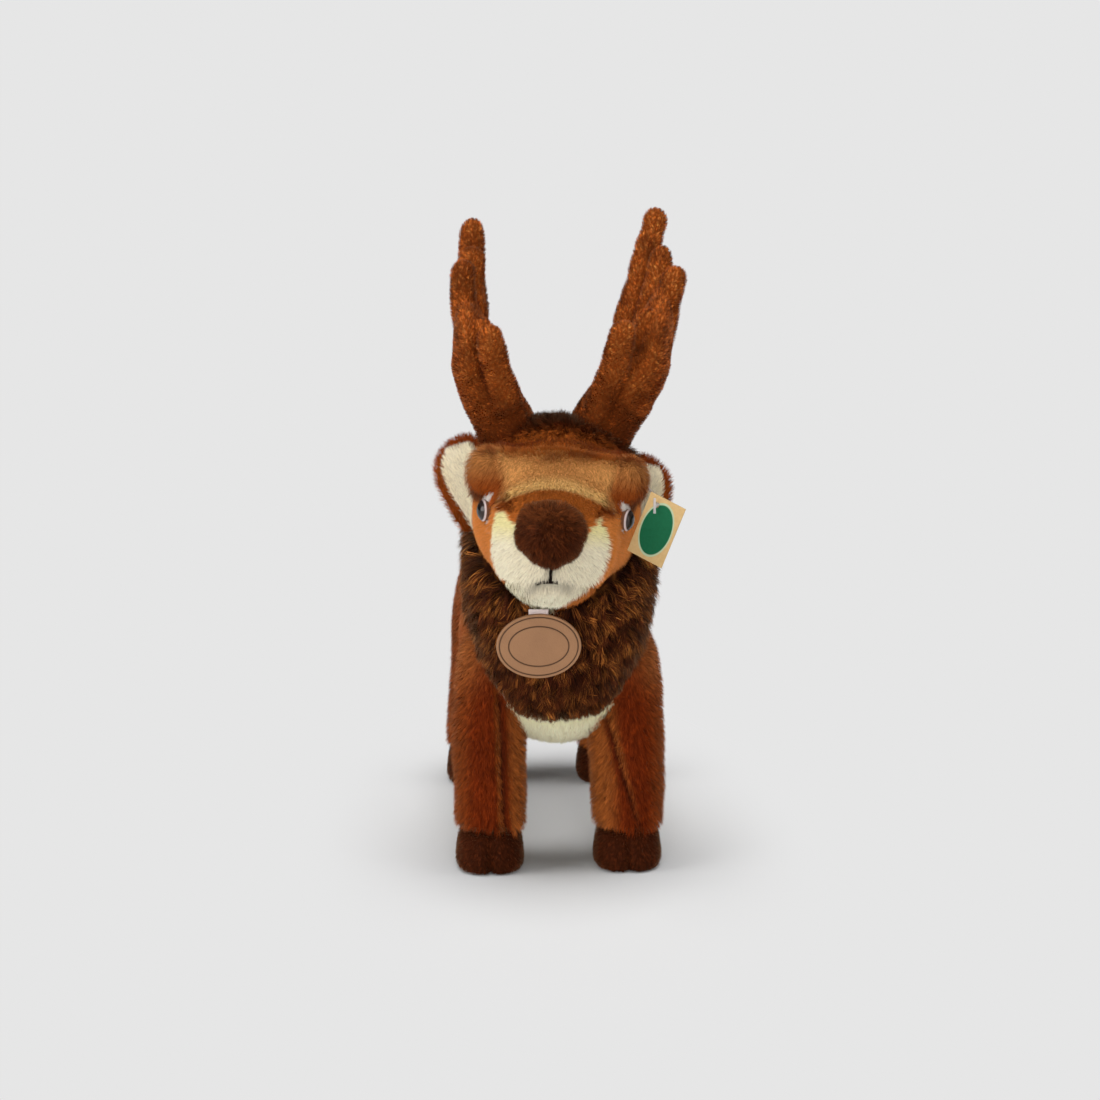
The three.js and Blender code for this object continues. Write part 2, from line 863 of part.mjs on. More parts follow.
const eyeSeat = eye.patchThickness + gap * 2; // the back of the eye, out from the cloth
const washerTop = -eye.washerDepth;

function eyeSolid() {
  const sphere = (eye.radius ** 2 + eye.bulge ** 2) / (2 * eye.bulge);
  const profile = [];
  for (let i = 0; i <= eye.domeSteps; i++) {
    const r = (eye.radius * i) / eye.domeSteps;
    profile.push([r, eyeSeat + eye.bulge - sphere + Math.sqrt(sphere ** 2 - r ** 2)]);
  }
  profile.push([eye.stemRadius, eyeSeat]);
  const end = eyeSeat - eye.stemLength;
  const pitch = (washerTop - eye.washerThickness - end) / eye.ribs;
  for (let i = 0; i < eye.ribs; i++) {
    const z = washerTop - eye.washerThickness - gap - i * pitch * eye.ribPitchShare;
    profile.push([eye.stemRadius, z], [eye.stemRadius + eye.ribDepth, z - pitch * eye.ribCrestShare]);
    profile.push([eye.stemRadius, z - pitch * eye.ribFootShare]);
  }
  profile.push([eye.stemRadius, end], [0, end]);
  return lathe(profile, eye.sides);
}

function rod(radius, from, to, sides = eye.sides) {
  const geometry = new THREE.CylinderGeometry(radius, radius, to - from, sides);
  geometry.rotateX(Math.PI / 2);
  geometry.translate(0, 0, (from + to) / 2);
  return solidOf(geometry);
}

function washerSolid() {
  const bore = rod(eye.stemRadius + gap, -overrun, overrun);
  return rod(eye.washerRadius, washerTop - eye.washerThickness, washerTop).subtract(bore);
}

function placed(object, matrix) {
  object.applyMatrix4(matrix);
  return object;
}

function headPieces() {
  const outer = headSolid(fine);
  const inner = headSolid(coarse, -cloth);
  const crownPiece = crownSolid(0).subtract(inner);
  const crownRegion = { y: [crownSeamY + gap, undefined] };
  const stems = [-1, 1].map((side) =>
    moved(rod(eye.stemRadius + eye.ribDepth + gap, -eye.stemLength, overrun), eyeMatrix(side)),
  );
  const shell = outer.subtract(inner).subtract(crownSolid(gap).intersect(region(crownRegion, gap)));
  const pieces = [];
  let sides = shell;
  for (const [name, limits] of Object.entries(panelRegions)) {
    pieces.push(mesh(name, biggest(shell.intersect(region(limits))), panelLooks[name]));
    sides = sides.subtract(region(limits, gap));
  }
  pieces.push(mesh("head_cover", biggest(sides.subtract(union(stems))), "plush"));
  pieces.push(mesh("crown", biggest(crownPiece.intersect(region(crownRegion))), "mane"));

  const pocketDepth = washerTop - eye.washerThickness - gap;
  const pockets = [-1, 1].map((side) => {
    const wide = rod(eye.washerRadius + gap, pocketDepth, overrun);
    const deep = rod(eye.stemRadius + eye.ribDepth + gap, eyeSeat - eye.stemLength - gap, 0);
    return moved(wide.add(deep), eyeMatrix(side));
  });
  const filling = headSolid(coarse, -cloth - gap).subtract(union(pockets));
  pieces.push(mesh("head_filling", biggest(filling), "filling"));

  const face = headSolid(fine, gap);
  pieces.push(mesh("nose", biggest(noseSolid(0).subtract(face)), "dark"));
  const clearNose = noseSolid(gap);
  pieces.push(mesh("mouth_thread", biggest(mouthSolid().subtract(clearNose)), "thread"));

  for (const [name, side] of [["left", -1], ["right", 1]]) {
    const matrix = eyeMatrix(side);
    const disc = rod(1, -eye.radius, overrun, eye.patchSides);
    const stretched = disc.scale([eye.patchHalfWidth, eye.patchHalfHeight, 1]);
    const layer = headSolid(plain, gap + eye.patchThickness).subtract(face);
    const clearEye = rod(eye.radius + gap, eyeSeat - gap, overrun, eye.patchSides);
    const cuts = stems[side < 0 ? 0 : 1].add(moved(clearEye, matrix));
    const underBrow = region({ z: [undefined, seams.browBottomZ - gap] });
    const patch = layer.intersect(moved(stretched, matrix)).intersect(underBrow).subtract(cuts);
    pieces.push(mesh(`eye_patch_${name}`, biggest(patch), "felt"));
    pieces.push(placed(mesh(`eye_${name}`, eyeSolid(), "glass"), matrix));
    pieces.push(placed(mesh(`eye_washer_${name}`, washerSolid(), "washer"), matrix));
  }
  return pieces;
}

// Ears

// A leaf between two depths, drawn in from the ear's outline by an inset.
function leafSolid(inset, front, back) {
  const rings = [];
  for (let i = 0; i <= ear.steps; i++) {
    const top = 1 - inset / ear.length;
    const up = top * Math.sin((i / ear.steps) * (Math.PI / 2));
    const outline = ear.halfWidth * between(ear.leafShares, up, 1);
    const half = Math.max(outline - inset, outline * ear.leastShare);
    const cup = ear.cup * Math.sin(Math.PI * Math.min(1, (up + ear.cupFromShare) / (1 + ear.cupFromShare)));
    const edge = (share, depth) => {
      const x = half * share;
      return new THREE.Vector3(x, depth - cup * (x / outline) ** 2, up * ear.length);
    };
    const across = Array.from({ length: ear.steps + 1 }, (_, k) => -1 + (2 * k) / ear.steps);
    const frontEdge = across.map((share) => edge(share, front));
    const backEdge = across.map((share) => edge(share, back)).reverse();
    rings.push([...frontEdge, ...backEdge]);
  }
  return loft(rings);
}

function earMatrix(side) {
  const lean = side < 0 ? ear.leftLean : ear.rightLean;
  const turned = new THREE.Euler(-ear.tilt, side * lean, side * ear.turn, "ZYX");
  return new THREE.Matrix4().compose(
    new THREE.Vector3(side * ear.x, ear.y, -(side < 0 ? ear.leftBelow : ear.rightBelow)),
    new THREE.Quaternion().setFromEuler(turned),
    new THREE.Vector3(1, 1, 1),
  );
}

function earPieces(name, side, cutters) {
  const matrix = earMatrix(side);
  const inWorld = headMatrix.clone().multiply(matrix);
  const blocked = moved(union(cutters), inWorld.clone().invert());
  const outer = leafSolid(0, 0, ear.thickness);
  const lining = leafSolid(ear.rim, -ear.thickness - ear.liningGap, -ear.liningGap);
  return [
    placed(mesh(`ear_${name}`, biggest(outer.subtract(blocked)), "plush"), matrix),
    placed(mesh(`ear_lining_${name}`, biggest(lining.subtract(blocked)), "cream"), matrix),
  ];
}

// Antlers

function tineSolid(points, { around, along }, grow) {
  const curve = new THREE.QuadraticBezierCurve3(...points);
  const total = curve.getLength();
  const rings = [];
  const dome = antler.tipRadius + grow;
  const end = total + grow;
  const distances = [];
  for (let i = 0; i <= along; i++) distances.push(((end - dome) * i) / along);
  for (const share of antler.tipShares) distances.push(end - dome + dome * share);
  for (const distance of distances) {
    const u = Math.min(1, distance / total);
    const near = Math.min(1, (end - distance) / dome);
    const full = THREE.MathUtils.lerp(antler.palmRadius, antler.tipRadius, u) + grow;
    const radius = full * Math.sqrt(1 - (1 - near) ** 2);
    const at = curve.getPointAt(u);
    const ahead = curve.getTangentAt(u);
    const across = new THREE.Vector3(1, 0, 0).addScaledVector(ahead, -ahead.x).normalize();
    const back = new THREE.Vector3().crossVectors(ahead, across);
    const ring = Array.from({ length: around }, (_, k) => {
      const turn = (2 * Math.PI * k) / around;
      return at
        .clone()
        .addScaledVector(across, radius * Math.cos(turn))
        .addScaledVector(back, radius * Math.sin(turn));
    });
    rings.push(ring);
  }
  return loft(rings);
}

function antlerSolid({ side, height, tineShares }, palmDetail, tineDetail, grow = 0) {
  const palm = new PaddedForm({
    rows: antler.palmShares.map(([up, half, back, front, out]) => [
      up * height,
      half * height,
      back * height,
      front * height,
      side * out * height,
    ]),
    domes: [antler.footRadius, antler.palmDomeShare * height],
    square: 2,
    place: alongZ,
  });
  const tines = tineShares.map((points) =>
    tineSolid(
      points.map(([out, back, up]) => new THREE.Vector3(side * out, back, up).multiplyScalar(height)),
      tineDetail,
      grow,
    ),
  );
  return union([palm.solid(palmDetail, grow), ...tines]);
}

function antlerMatrix(name) {
  const { side, footX, lean } = antlerSides[name];
  return new THREE.Matrix4().compose(
    new THREE.Vector3(...fromHead([footX, antler.footBehind, antler.footAbove])),
    new THREE.Quaternion().setFromEuler(new THREE.Euler(0, side * lean, head.yaw, "ZYX")),
    new THREE.Vector3(1, 1, 1),
  );
}

function antlerGrown(name) {
  return moved(antlerSolid(antlerSides[name], plain, tineFine, gap), antlerMatrix(name));
}

function antlerPieces(name, cutters) {
  const matrix = antlerMatrix(name);
  const blocked = moved(union(cutters), matrix.clone().invert());
  const sized = (...detail) => antlerSolid(antlerSides[name], ...detail);
  const outer = sized(plain, tineFine).subtract(blocked);
  const inner = sized(coarse, tineCoarse, -velour);
  const padding = sized(coarse, tineCoarse, -velour - gap).subtract(blocked);
  return [
    placed(mesh(`antler_${name}`, biggest(outer.subtract(inner)), "antler"), matrix),
    placed(mesh(`antler_filling_${name}`, biggest(padding), "filling"), matrix),
  ];
}

// Medallion and ribbon

function oval(halfWidth, halfHeight, front, back) {
  const shape = new THREE.Shape();
  for (let i = 0; i <= medallion.corners; i++) {
    const turn = (2 * Math.PI * i) / medallion.corners;
    const [x, y] = [halfWidth * Math.cos(turn), halfHeight * Math.sin(turn)];
    if (i === 0) shape.moveTo(x, y);
    else shape.lineTo(x, y);
  }
  const geometry = new THREE.ExtrudeGeometry(shape, { depth: back - front, bevelEnabled: false });
  geometry.rotateX(Math.PI / 2);
  geometry.translate(0, back, 0);
  return solidOf(geometry);
}

function medallionPieces() {
  const pivot = new THREE.Vector3(...ribbon.seam);
  const front = -medallion.thickness / 2;
  const ring = (inset) =>
    oval(medallion.halfWidth - inset, medallion.halfHeight - inset, front - gap, front + medallion.rimDepth);
  const groove = ring(medallion.rimInset).subtract(ring(medallion.rimInset + medallion.rimWidth));
  const disc = oval(medallion.halfWidth, medallion.halfHeight, front, -front).subtract(groove);
  const back = -front + gap;
  const top = medallion.halfHeight - medallion.belowSeam;
  const strap = block(
    [-ribbon.width / 2, back, top - ribbon.overlap],
    [ribbon.width / 2, back + ribbon.thickness, 0],
  );
  const pieces = [
    mesh("medallion", disc.translate([0, 0, -medallion.belowSeam]), "leather"),
    mesh("ribbon", strap, "ribbon"),
  ];
  pieces.forEach((piece) => piece.position.copy(pivot));
  return pieces;
}

// Card tag and tack

function tagMatrix() {
  return new THREE.Matrix4().compose(
    new THREE.Vector3(...tag.hole),
    new THREE.Quaternion().setFromEuler(new THREE.Euler(0, tag.lean, tag.yaw, "ZYX")),
    new THREE.Vector3(1, 1, 1),
  );
}

function tackPoints() {
  const out = new THREE.Vector3(0, -1, 0).transformDirection(tagMatrix());
  const hole = new THREE.Vector3(...tag.hole);
  const earHole = new THREE.Vector3(...tack.earHole);
  const back = new THREE.Vector3(0, 1, 0);
  return [
    earHole.clone().addScaledVector(back, tack.behindEar),
    earHole,
    hole.clone().addScaledVector(out, -tack.behindCard),
    hole.clone().addScaledVector(out, tack.beforeCard),
  ];
}

function tagPieces() {
  const half = tag.thickness / 2;
  const left = -tag.holeFromSide;
  const top = tag.holeFromTop;
  const card = block([left, -half, top - tag.height], [left + tag.width, half, top]);
  const hole = rod(tag.holeRadius, -overrun, overrun, tag.holeSides).rotate([90, 0, 0]);
  const points = tackPoints();
  const filament = tube(points, tack.radius, tack.sides, tack.steps);
  const reach = tack.barLength / 2;
  const bar = (at) => rod(tack.radius, -reach, reach, tack.sides).translate(at.toArray());
  return [
    placed(mesh("ear_tag", card.subtract(hole), "card"), tagMatrix()),
    mesh("tag_tack", union([filament, bar(points[0]), bar(points[3])]), "clear"),
  ];
}

// Assembly

const deer = new THREE.Group();
const headGroup = placed(new THREE.Group(), headMatrix);
const maneGrown = maneForm.solid(fine, gap);
const tackBore = tube(tackPoints(), tack.radius + gap, tack.sides, tack.steps);
const aroundEars = [headGrown, maneGrown, crownGrown];
headGroup.add(...headPieces());
headGroup.add(...earPieces("left", -1, [...aroundEars, antlerGrown("left")]));
headGroup.add(...earPieces("right", 1, [...aroundEars, antlerGrown("right"), tackBore]));
deer.add(...torsoPieces(), ...neckPieces(), tailPiece());
deer.add(...legPieces("front", frontLeg), ...legPieces("hind", hindLeg));
deer.add(headGroup);
deer.add(...antlerPieces("left", [headGrown, crownGrown]));
deer.add(...antlerPieces("right", [headGrown, crownGrown]));
deer.add(...medallionPieces(), ...tagPieces());

// The origin lies on the floor under the middle of the whole.
const part = new THREE.Group().add(deer);
const bounds = new THREE.Box3().setFromObject(part, true);
const middle = bounds.getCenter(new THREE.Vector3());
deer.position.set(-middle.x, -middle.y, -bounds.min.z);

export default part;
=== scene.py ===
"""A standing plush stag on a pale floor: soft skins under mesh pile, safety eyes and tags.

Lengths are in millimetres in the modelling frame: x across, -y forwards, z up from the floor.
to_part() moves them to the part's own frame, in metres.
"""
import json
import math
import zlib

import bpy
import numpy as np
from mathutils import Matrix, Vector
from mathutils.kdtree import KDTree

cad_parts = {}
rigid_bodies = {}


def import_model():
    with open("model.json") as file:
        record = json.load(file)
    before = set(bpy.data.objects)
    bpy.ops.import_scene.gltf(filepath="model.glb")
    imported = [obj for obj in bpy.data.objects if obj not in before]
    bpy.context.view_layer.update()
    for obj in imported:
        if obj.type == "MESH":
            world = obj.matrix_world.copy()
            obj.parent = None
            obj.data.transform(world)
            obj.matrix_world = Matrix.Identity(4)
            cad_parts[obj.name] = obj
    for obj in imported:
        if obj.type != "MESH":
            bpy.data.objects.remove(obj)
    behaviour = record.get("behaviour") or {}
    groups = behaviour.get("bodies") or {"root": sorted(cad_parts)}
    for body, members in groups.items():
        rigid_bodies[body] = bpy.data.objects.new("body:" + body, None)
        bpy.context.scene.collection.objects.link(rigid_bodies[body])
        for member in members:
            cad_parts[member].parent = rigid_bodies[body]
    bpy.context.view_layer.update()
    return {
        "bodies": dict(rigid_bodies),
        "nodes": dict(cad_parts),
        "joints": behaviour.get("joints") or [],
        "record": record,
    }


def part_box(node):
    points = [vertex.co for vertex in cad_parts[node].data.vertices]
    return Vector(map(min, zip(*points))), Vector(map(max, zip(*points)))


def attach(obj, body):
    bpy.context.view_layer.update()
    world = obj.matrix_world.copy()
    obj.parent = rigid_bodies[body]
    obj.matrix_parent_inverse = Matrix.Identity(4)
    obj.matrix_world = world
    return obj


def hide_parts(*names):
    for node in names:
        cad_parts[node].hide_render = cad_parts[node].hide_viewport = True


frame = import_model()

MM = 0.001
SIDES = {"left": -1, "right": 1}
WAVES = 6  # in every octave of an uneven field
CAMERA = {
    "azimuth": -3.5, "elevation": 11, "distance": 1300, "target": [0.6, 0, 139.1],
    "lens": 85.09, "sensor": 36, "clip": [0.05, 20],
}

# The body's forms. Sink is how far a skin lies below its solid, where pile fills the rest. Swell gives
# uneven stuffing: over what size, how deep, and its seed. Grid is the skin's points around and along.
# Fused gives the voxel and the rounds of smoothing of a skin that is made from several surfaces.

TORSO = {
    "length": 194, "front": -99, "bottom": 58, "half_width": 45.5, "height": 104,
    "domes": [30, 34], "square": 2.05, "sink": 2.8, "swell": [46, 0.8, 21], "grid": [128, 96],
    # along, half width, top, bottom
    "shares": [
        [0, 0.8, 0.58, 0.18], [0.12, 0.93, 0.66, 0.03], [0.28, 1, 0.86, 0], [0.4, 0.98, 0.97, 0.02],
        [0.55, 0.92, 0.94, 0.06], [0.72, 0.95, 0.97, 0.1], [0.9, 0.85, 0.92, 0.22], [1, 0.74, 0.84, 0.34],
    ],
}
BELLY = {"half_width": 25, "top": 86, "back": 62, "longer_half_width": 15}
MANE = {
    "bottom": 77, "height": 113, "half_width": 44, "front": -124, "depth": 94,
    "domes": [9, 14], "square": 2.2, "sink": 4, "swell": [26, 1.2, 22], "grid": [128, 96],
    "beside": [10, 27],  # how far from its middle it gets shorter at the lower edge
    # up, half width, back, front
    "shares": [
        [0, 0.44, 0.46, 0.17], [0.14, 0.68, 0.6, 0.11], [0.32, 0.87, 0.8, 0.03], [0.49, 0.98, 0.93, 0],
        [0.66, 1, 1, 0.05], [0.82, 0.93, 0.95, 0.14], [1, 0.8, 0.86, 0.26],
    ],
}
FRONT_LEG = {
    "x": 33, "y": -74, "bottom": 16.5, "height": 108, "half_width": 17.5, "half_depth": 18.5, "hoof_share": 1,
    "domes": [6, 24], "square": 2.3, "sink": 2.6, "grid": [96, 80],
    # up, half width, back, front, shift towards the middle
    "shares": [
        [0, 0.96, 0.9, 0.95, 0], [0.27, 1, 1, 0.96, 0], [0.55, 1.04, 1.3, 0.9, 0.04],
        [0.8, 1, 1.6, 0.8, 0.14], [1, 0.8, 1.3, 0.5, 0.3],
    ],
}
HIND_LEG = {
    "x": 34.6, "y": 77, "bottom": 16.5, "height": 120, "half_width": 16.4, "half_depth": 18.5,
    "hoof_share": 0.945, "domes": [6, 30], "square": 2.3, "sink": 2.6, "grid": [96, 80],
    "shares": [
        [0, 0.94, 0.95, 0.95, 0], [0.22, 0.93, 1.02, 0.88, 0.04], [0.42, 0.96, 1.06, 1.3, 0.16],
        [0.68, 1.04, 1.08, 2.1, 0.34], [1, 0.85, 0.7, 1.7, 0.55],
    ],
}
LEG_SWELL = [40, 0.7, 40]
HOOF = {
    "half_width": 16.3, "half_depth": 17.8, "forward": 3, "top_share": 0.87,
    "domes": [10, 6], "square": 2.3, "sink": 1.2, "grid": [96, 48],
    "cleft_depth": 5, "cleft_half_width": 2.3, "cleft_fade": 1.4,
    "bare_sole": 0.8,  # how high the sole stays without pile
    "patches": [0.12, 30, 5],  # of colour: depth, size and seed
}
TAIL = {
    "bottom": 110, "height": 42, "half_width": 12, "back": 106, "depth": 18,
    "domes": [12, 12], "square": 2, "sink": 3, "grid": [64, 48],
    "shares": [[0, 0.7, 0.1, 1], [0.4, 1, 0, 1], [1, 0.7, 0.5, 1.4]],
}

# The head, in its own frame

HEAD = {
    "place": [-1.5, -86, 176], "yaw": -5, "roll": 3.7,
    "back": 42, "length": 101, "half_width": 38.8, "top": 34.5, "bottom": 39.5, "jaw": 0.4,
    "domes": [17, 30], "square": 2.35, "sink": 1.8, "swell": [30, 0.5, 23], "grid": [128, 96],
    "fused": [1.1, 6], "brow_rounds": 60,  # that smooth the brow's roll into the forehead
    # forward, half width, top, bottom
    "shares": [
        [0, 0.74, 0.76, 0.7], [0.14, 0.84, 0.86, 0.8], [0.28, 0.95, 0.96, 0.92], [0.42, 1, 1, 0.98],
        [0.54, 0.98, 0.98, 1], [0.65, 0.88, 0.88, 1], [0.76, 0.77, 0.7, 1], [0.86, 0.71, 0.5, 0.99],
        [1, 0.62, 0.36, 0.9],
    ],
}
BROW = {
    "half_length": 41, "y": -20, "z": 18.5, "half_depth": 13, "half_height": 11.5,
    "domes": [9, 9], "square": 2.8, "sink": 1.8, "grid": [96, 64],
}
CROWN = {"centre": [0, 3, 19], "halves": [35, 22, 22.5], "sink": 2.4}
NOSE = {
    "centre": [-1, -57, -2.3], "halves": [16.8, 12.6, 15.6], "sink": 1.6, "swell": [13, 0.9, 85],
    "middle_share": 0.92,  # of the width
    "wider_share": 0.12,  # from there to the top
}
BALL_POINTS = 64
SEAMS = {
    "crown_y": -17, "forehead_half_width": 25, "forehead_slant": 0.35, "brow_bottom": 7,
    "muzzle_y": -41, "muzzle_top": 5, "smile": -25, "chin_half_width": 20, "chin_back": -22,
    "pinch_depth": 0.9, "pinch_width": 1.6,
}
EYE = {
    "y": -28.5, "z": 1.5, "facing": 21, "radius": 5.1, "bulge": 2.7, "seat": 1.3, "pupil": 2.8, "iris": 4.6,
    "skirt": 0.4, "skirt_shares": [0.98, 0.9], "stem_radius": 1.7, "stem_from": 1.4, "stem_to": 3,
    "pile_gap": 0.2,
}
FELT = {
    "half_width": 9.5, "half_height": 11, "thickness": 1.2,
    "least": 0.15,  # how far it lies off the skin where pile covers it
    "shown_half_width": 2.4, "shown_aside": 1.4, "shown_height": 3.6,  # above the eye
    "rise": 2.5, "fall": 2, "grid": [72, 14], "steps": 111,
}
MOUTH = {
    "top": -14, "fork": -23.6, "left": 8, "right": 12, "drop": 2.6,
    "shown": [-6, 2.6],  # beyond them the thread dives under the pile
    "thread": 0.75,
    "rise": 0.7,  # of the thread's middle over the skin
    "dive": 3, "dive_left": 1, "dive_right": 3,
    "clear": 1.25,  # pile stays this far off
    "pad": 1.9, "pad_reach": 14,  # how far the lips swell
    "groove": 1.4,
    "front": -40,  # the skin behind it isn't the mouth's
    # painted shadow along the mouth: the stretch of thread it follows, how wide it is and how much darker
    "shadow_span": [-8, 8], "shadow_width": 2.6, "shadow_share": 0.4,
    "steps": [24, 60],  # down and across
    "fused": [0.25, 1],
}
EAR = {
    "length": 44, "half_width": 13.5, "thickness": 2.4, "cup": 8, "cup_from": 0.4, "rim": 4.2,
    "lining_gap": 0.9, "x": 35, "y": 4, "heights": {"left": -14, "right": -19},
    "leans": {"left": 20, "right": 8}, "turn": 20, "tilt": 6, "fused": [0.8, 3], "steps": 40,
    "shares": [[0, 0.42], [0.25, 0.68], [0.5, 0.92], [0.72, 1], [0.88, 0.8], [0.97, 0.42], [1, 0.16]],
}
ANTLER = {
    "foot": {"left": [-25.4, -76, 206], "right": [21.1, -76, 206]},
    "height": {"left": 102, "right": 109}, "lean": {"left": 7.4, "right": 14.6},
    "foot_dome": 12, "palm_dome": 0.2, "palm_radius": 9.4, "tip_radius": 5.8,
    "sink": 1, "swell": [22, 0.6, 24], "grid": [96, 64], "square": 2,
    "fused": [0.7, 2], "hollow_rounds": 60, "line_points": 60, "tine_grid": [32, 24, 8],
    "bare_foot": [12, -14],  # radius and lowest height where the crown has no pile round an antler
    # up, half thickness, back, front, out, as shares of the height
    "palm_shares": [
        [-0.1, 0.145, 0.12, -0.13, -0.03], [0.06, 0.145, 0.12, -0.14, -0.02],
        [0.2, 0.142, 0.15, -0.18, 0.025], [0.36, 0.1, 0.23, -0.22, 0.09],
        [0.54, 0.075, 0.27, -0.2, 0.09], [0.7, 0.062, 0.27, -0.08, 0.085],
    ],
    # start, bend and tip of each tine: out, back, up
    "tine_shares": {
        "left": [
            [[-0.05, -0.05, 0.06], [-0.01, -0.17, 0.3], [-0.015, -0.27, 0.56]],
            [[0.03, -0.03, 0.12], [0.08, -0.09, 0.36], [0.02, -0.12, 0.58]],
            [[0.05, 0, 0.12], [0.12, 0.02, 0.42], [0.085, 0.04, 0.83]],
            [[0.04, 0.03, 0.12], [0.12, 0.11, 0.42], [0.04, 0.18, 0.87]],
            [[0.02, 0.06, 0.08], [0.135, 0.2, 0.42], [0.025, 0.31, 1]],
        ],
        "right": [
            [[-0.05, -0.05, 0.06], [-0.035, -0.17, 0.3], [-0.045, -0.27, 0.54]],
            [[0.03, -0.03, 0.12], [0.09, -0.09, 0.36], [0.04, -0.12, 0.6]],
            [[0.05, 0, 0.12], [0.13, 0.02, 0.42], [0.115, 0.04, 0.79]],
            [[0.04, 0.03, 0.12], [0.08, 0.11, 0.42], [0.035, 0.18, 0.85]],
            [[-0.01, 0.06, 0.08], [-0.02, 0.2, 0.42], [-0.022, 0.31, 0.985]],
        ],
    },
}
MEDALLION = {
    "seam": [-12.5, -131, 137], "below_seam": 16.5, "half_width": 19.2, "half_height": 14.8,
    "thickness": 2.4, "edge": 0.5, "grid": [144, 8, 120], "fine_from": 7,
    "rings": [[1.4, 0.3], [5.6, 0.3]],  # how far in from the edge, and half how wide
    "groove": 0.3,
    "swing": 75,  # degrees, forwards and up
    "room": 4,  # kept free round it where it swings
    "room_share": 0.85,  # of the room above it then that pile takes
    "least_pile": 0.02,  # share of its length that pile keeps there
}
RIBBON = {"width": 9, "thickness": 0.8, "overlap": 12, "gap": 0.3, "grid": [24, 24]}
CARD = {"yaw": -28, "lean": 22.5, "oval_half_width": 7.4, "oval_half_height": 12.6}

# The swing's pivot lies on the ribbon's seam, which ties the two frames together
swing = next(joint for joint in frame["joints"] if joint["name"] == "medallion_swing")
ORIGIN = np.array(swing["pos_m"]) / MM - np.array(MEDALLION["seam"])


# Vectors, frames and fields


def unit(v):
    return v / np.maximum(np.linalg.norm(v, axis=-1, keepdims=True), 1e-9)


def turn(axis, degrees):
    """A right-handed turn about x, y or z as a 3 by 3 matrix."""
    c, s = math.cos(math.radians(degrees)), math.sin(math.radians(degrees))
    if axis == "x":
        return np.array([[1, 0, 0], [0, c, -s], [0, s, c]])
    if axis == "y":
        return np.array([[c, 0, s], [0, 1, 0], [-s, 0, c]])
    return np.array([[c, -s, 0], [s, c, 0], [0, 0, 1]])


class Places:
    """Points as seen in a frame, with the skin's normals there."""

    def __init__(self, points, local, facing=None):
        self.points, self.local, self.facing, self.count = points, local, facing, len(local)
        self.x, self.y, self.z = local.T
        self.aside = np.abs(self.x)
        if facing is not None:
            self.sideways, self.behind = np.abs(facing[:, 0]), facing[:, 1]


class Frame:
    """A place with its own axes."""

    def __init__(self, place=(0, 0, 0), axes=None):
        self.place = np.array(place, float)
        self.axes = np.eye(3) if axes is None else axes

    def out(self, points):
        return points @ self.axes.T + self.place

    def into(self, points):
        return (points - self.place) @ self.axes

    def at(self, points, normals=None):
        return Places(points, self.into(points), None if normals is None else normals @ self.axes)

    def within(self, parent):
        return Frame(parent.out(self.place), parent.axes @ self.axes)


BODY = Frame()
SKULL = Frame(HEAD["place"], turn("z", HEAD["yaw"]) @ turn("y", HEAD["roll"]))


def ear_frame(side):
    sign = SIDES[side]
    axes = turn("z", sign * EAR["turn"]) @ turn("y", sign * EAR["leans"][side]) @ turn("x", -EAR["tilt"])
    return Frame([sign * EAR["x"], EAR["y"], EAR["heights"][side]], axes).within(SKULL)


def antler_frame(side):
    axes = turn("z", HEAD["yaw"]) @ turn("y", SIDES[side] * ANTLER["lean"][side])
    return Frame(ANTLER["foot"][side], axes)


def to_part(points):
    return (np.asarray(points, float) + ORIGIN) * MM


def waves(points, size, seed, octaves=2):
    """A smooth field between about -1 and 1 that changes over a distance of that size."""
    chosen = np.random.default_rng(seed)
    total, weight = np.zeros(len(points)), 0
    for octave in range(octaves):
        scale = size / 2**octave
        for _ in range(WAVES):
            direction = unit(chosen.normal(size=3))
            phase = chosen.uniform(0, 2 * math.pi)
            total += np.sin(points @ direction * (2 * math.pi / scale) + phase) / 2**octave
        weight += 1 / 2**octave
    return total / (weight * math.sqrt(WAVES))


def ramp(value, low, high):
    t = np.clip((value - low) / (high - low), 0, 1)
    return t * t * (3 - 2 * t)


def bell(value, width, power=2):
    """1 at 0, and little beyond the width."""
    return np.exp(-((value / width) ** power))


def mix(a, b, share):
    return a + (b - a) * np.asarray(share)[..., None]


def linear(*srgb):
    c = np.array(srgb, float) / 255
    return np.where(c <= 0.04045, c / 12.92, ((c + 0.055) / 1.055) ** 2.4)


def circle(count):
    return np.linspace(0, 2 * math.pi, count, endpoint=False)


def squared(value, power):
    return np.sign(value) * np.abs(value) ** power


# Forms that swell and taper


def between(rows, at):
    """Every column of a table at the given places, on a smooth curve through its rows."""
    rows = np.array(rows, float)
    key, values = rows[:, 0], rows[:, 1:]
    last = len(key) - 1
    at = np.clip(at, key[0], key[-1])
    i = np.clip(np.searchsorted(key, at, side="right") - 1, 0, last - 1)
    low, high = np.maximum(np.arange(last + 1) - 1, 0), np.minimum(np.arange(last + 1) + 1, last)
    slope = (values[high] - values[low]) / (key[high] - key[low])[:, None]
    span = (key[i + 1] - key[i])[:, None]
    t = (at[:, None] - key[i][:, None]) / span
    t2, t3 = t * t, t * t * t
    return (
        values[i] * (2 * t3 - 3 * t2 + 1)
        + slope[i] * span * (t3 - 2 * t2 + t)
        + values[i + 1] * (3 * t2 - 2 * t3)
        + slope[i + 1] * span * (t3 - t2)
    )


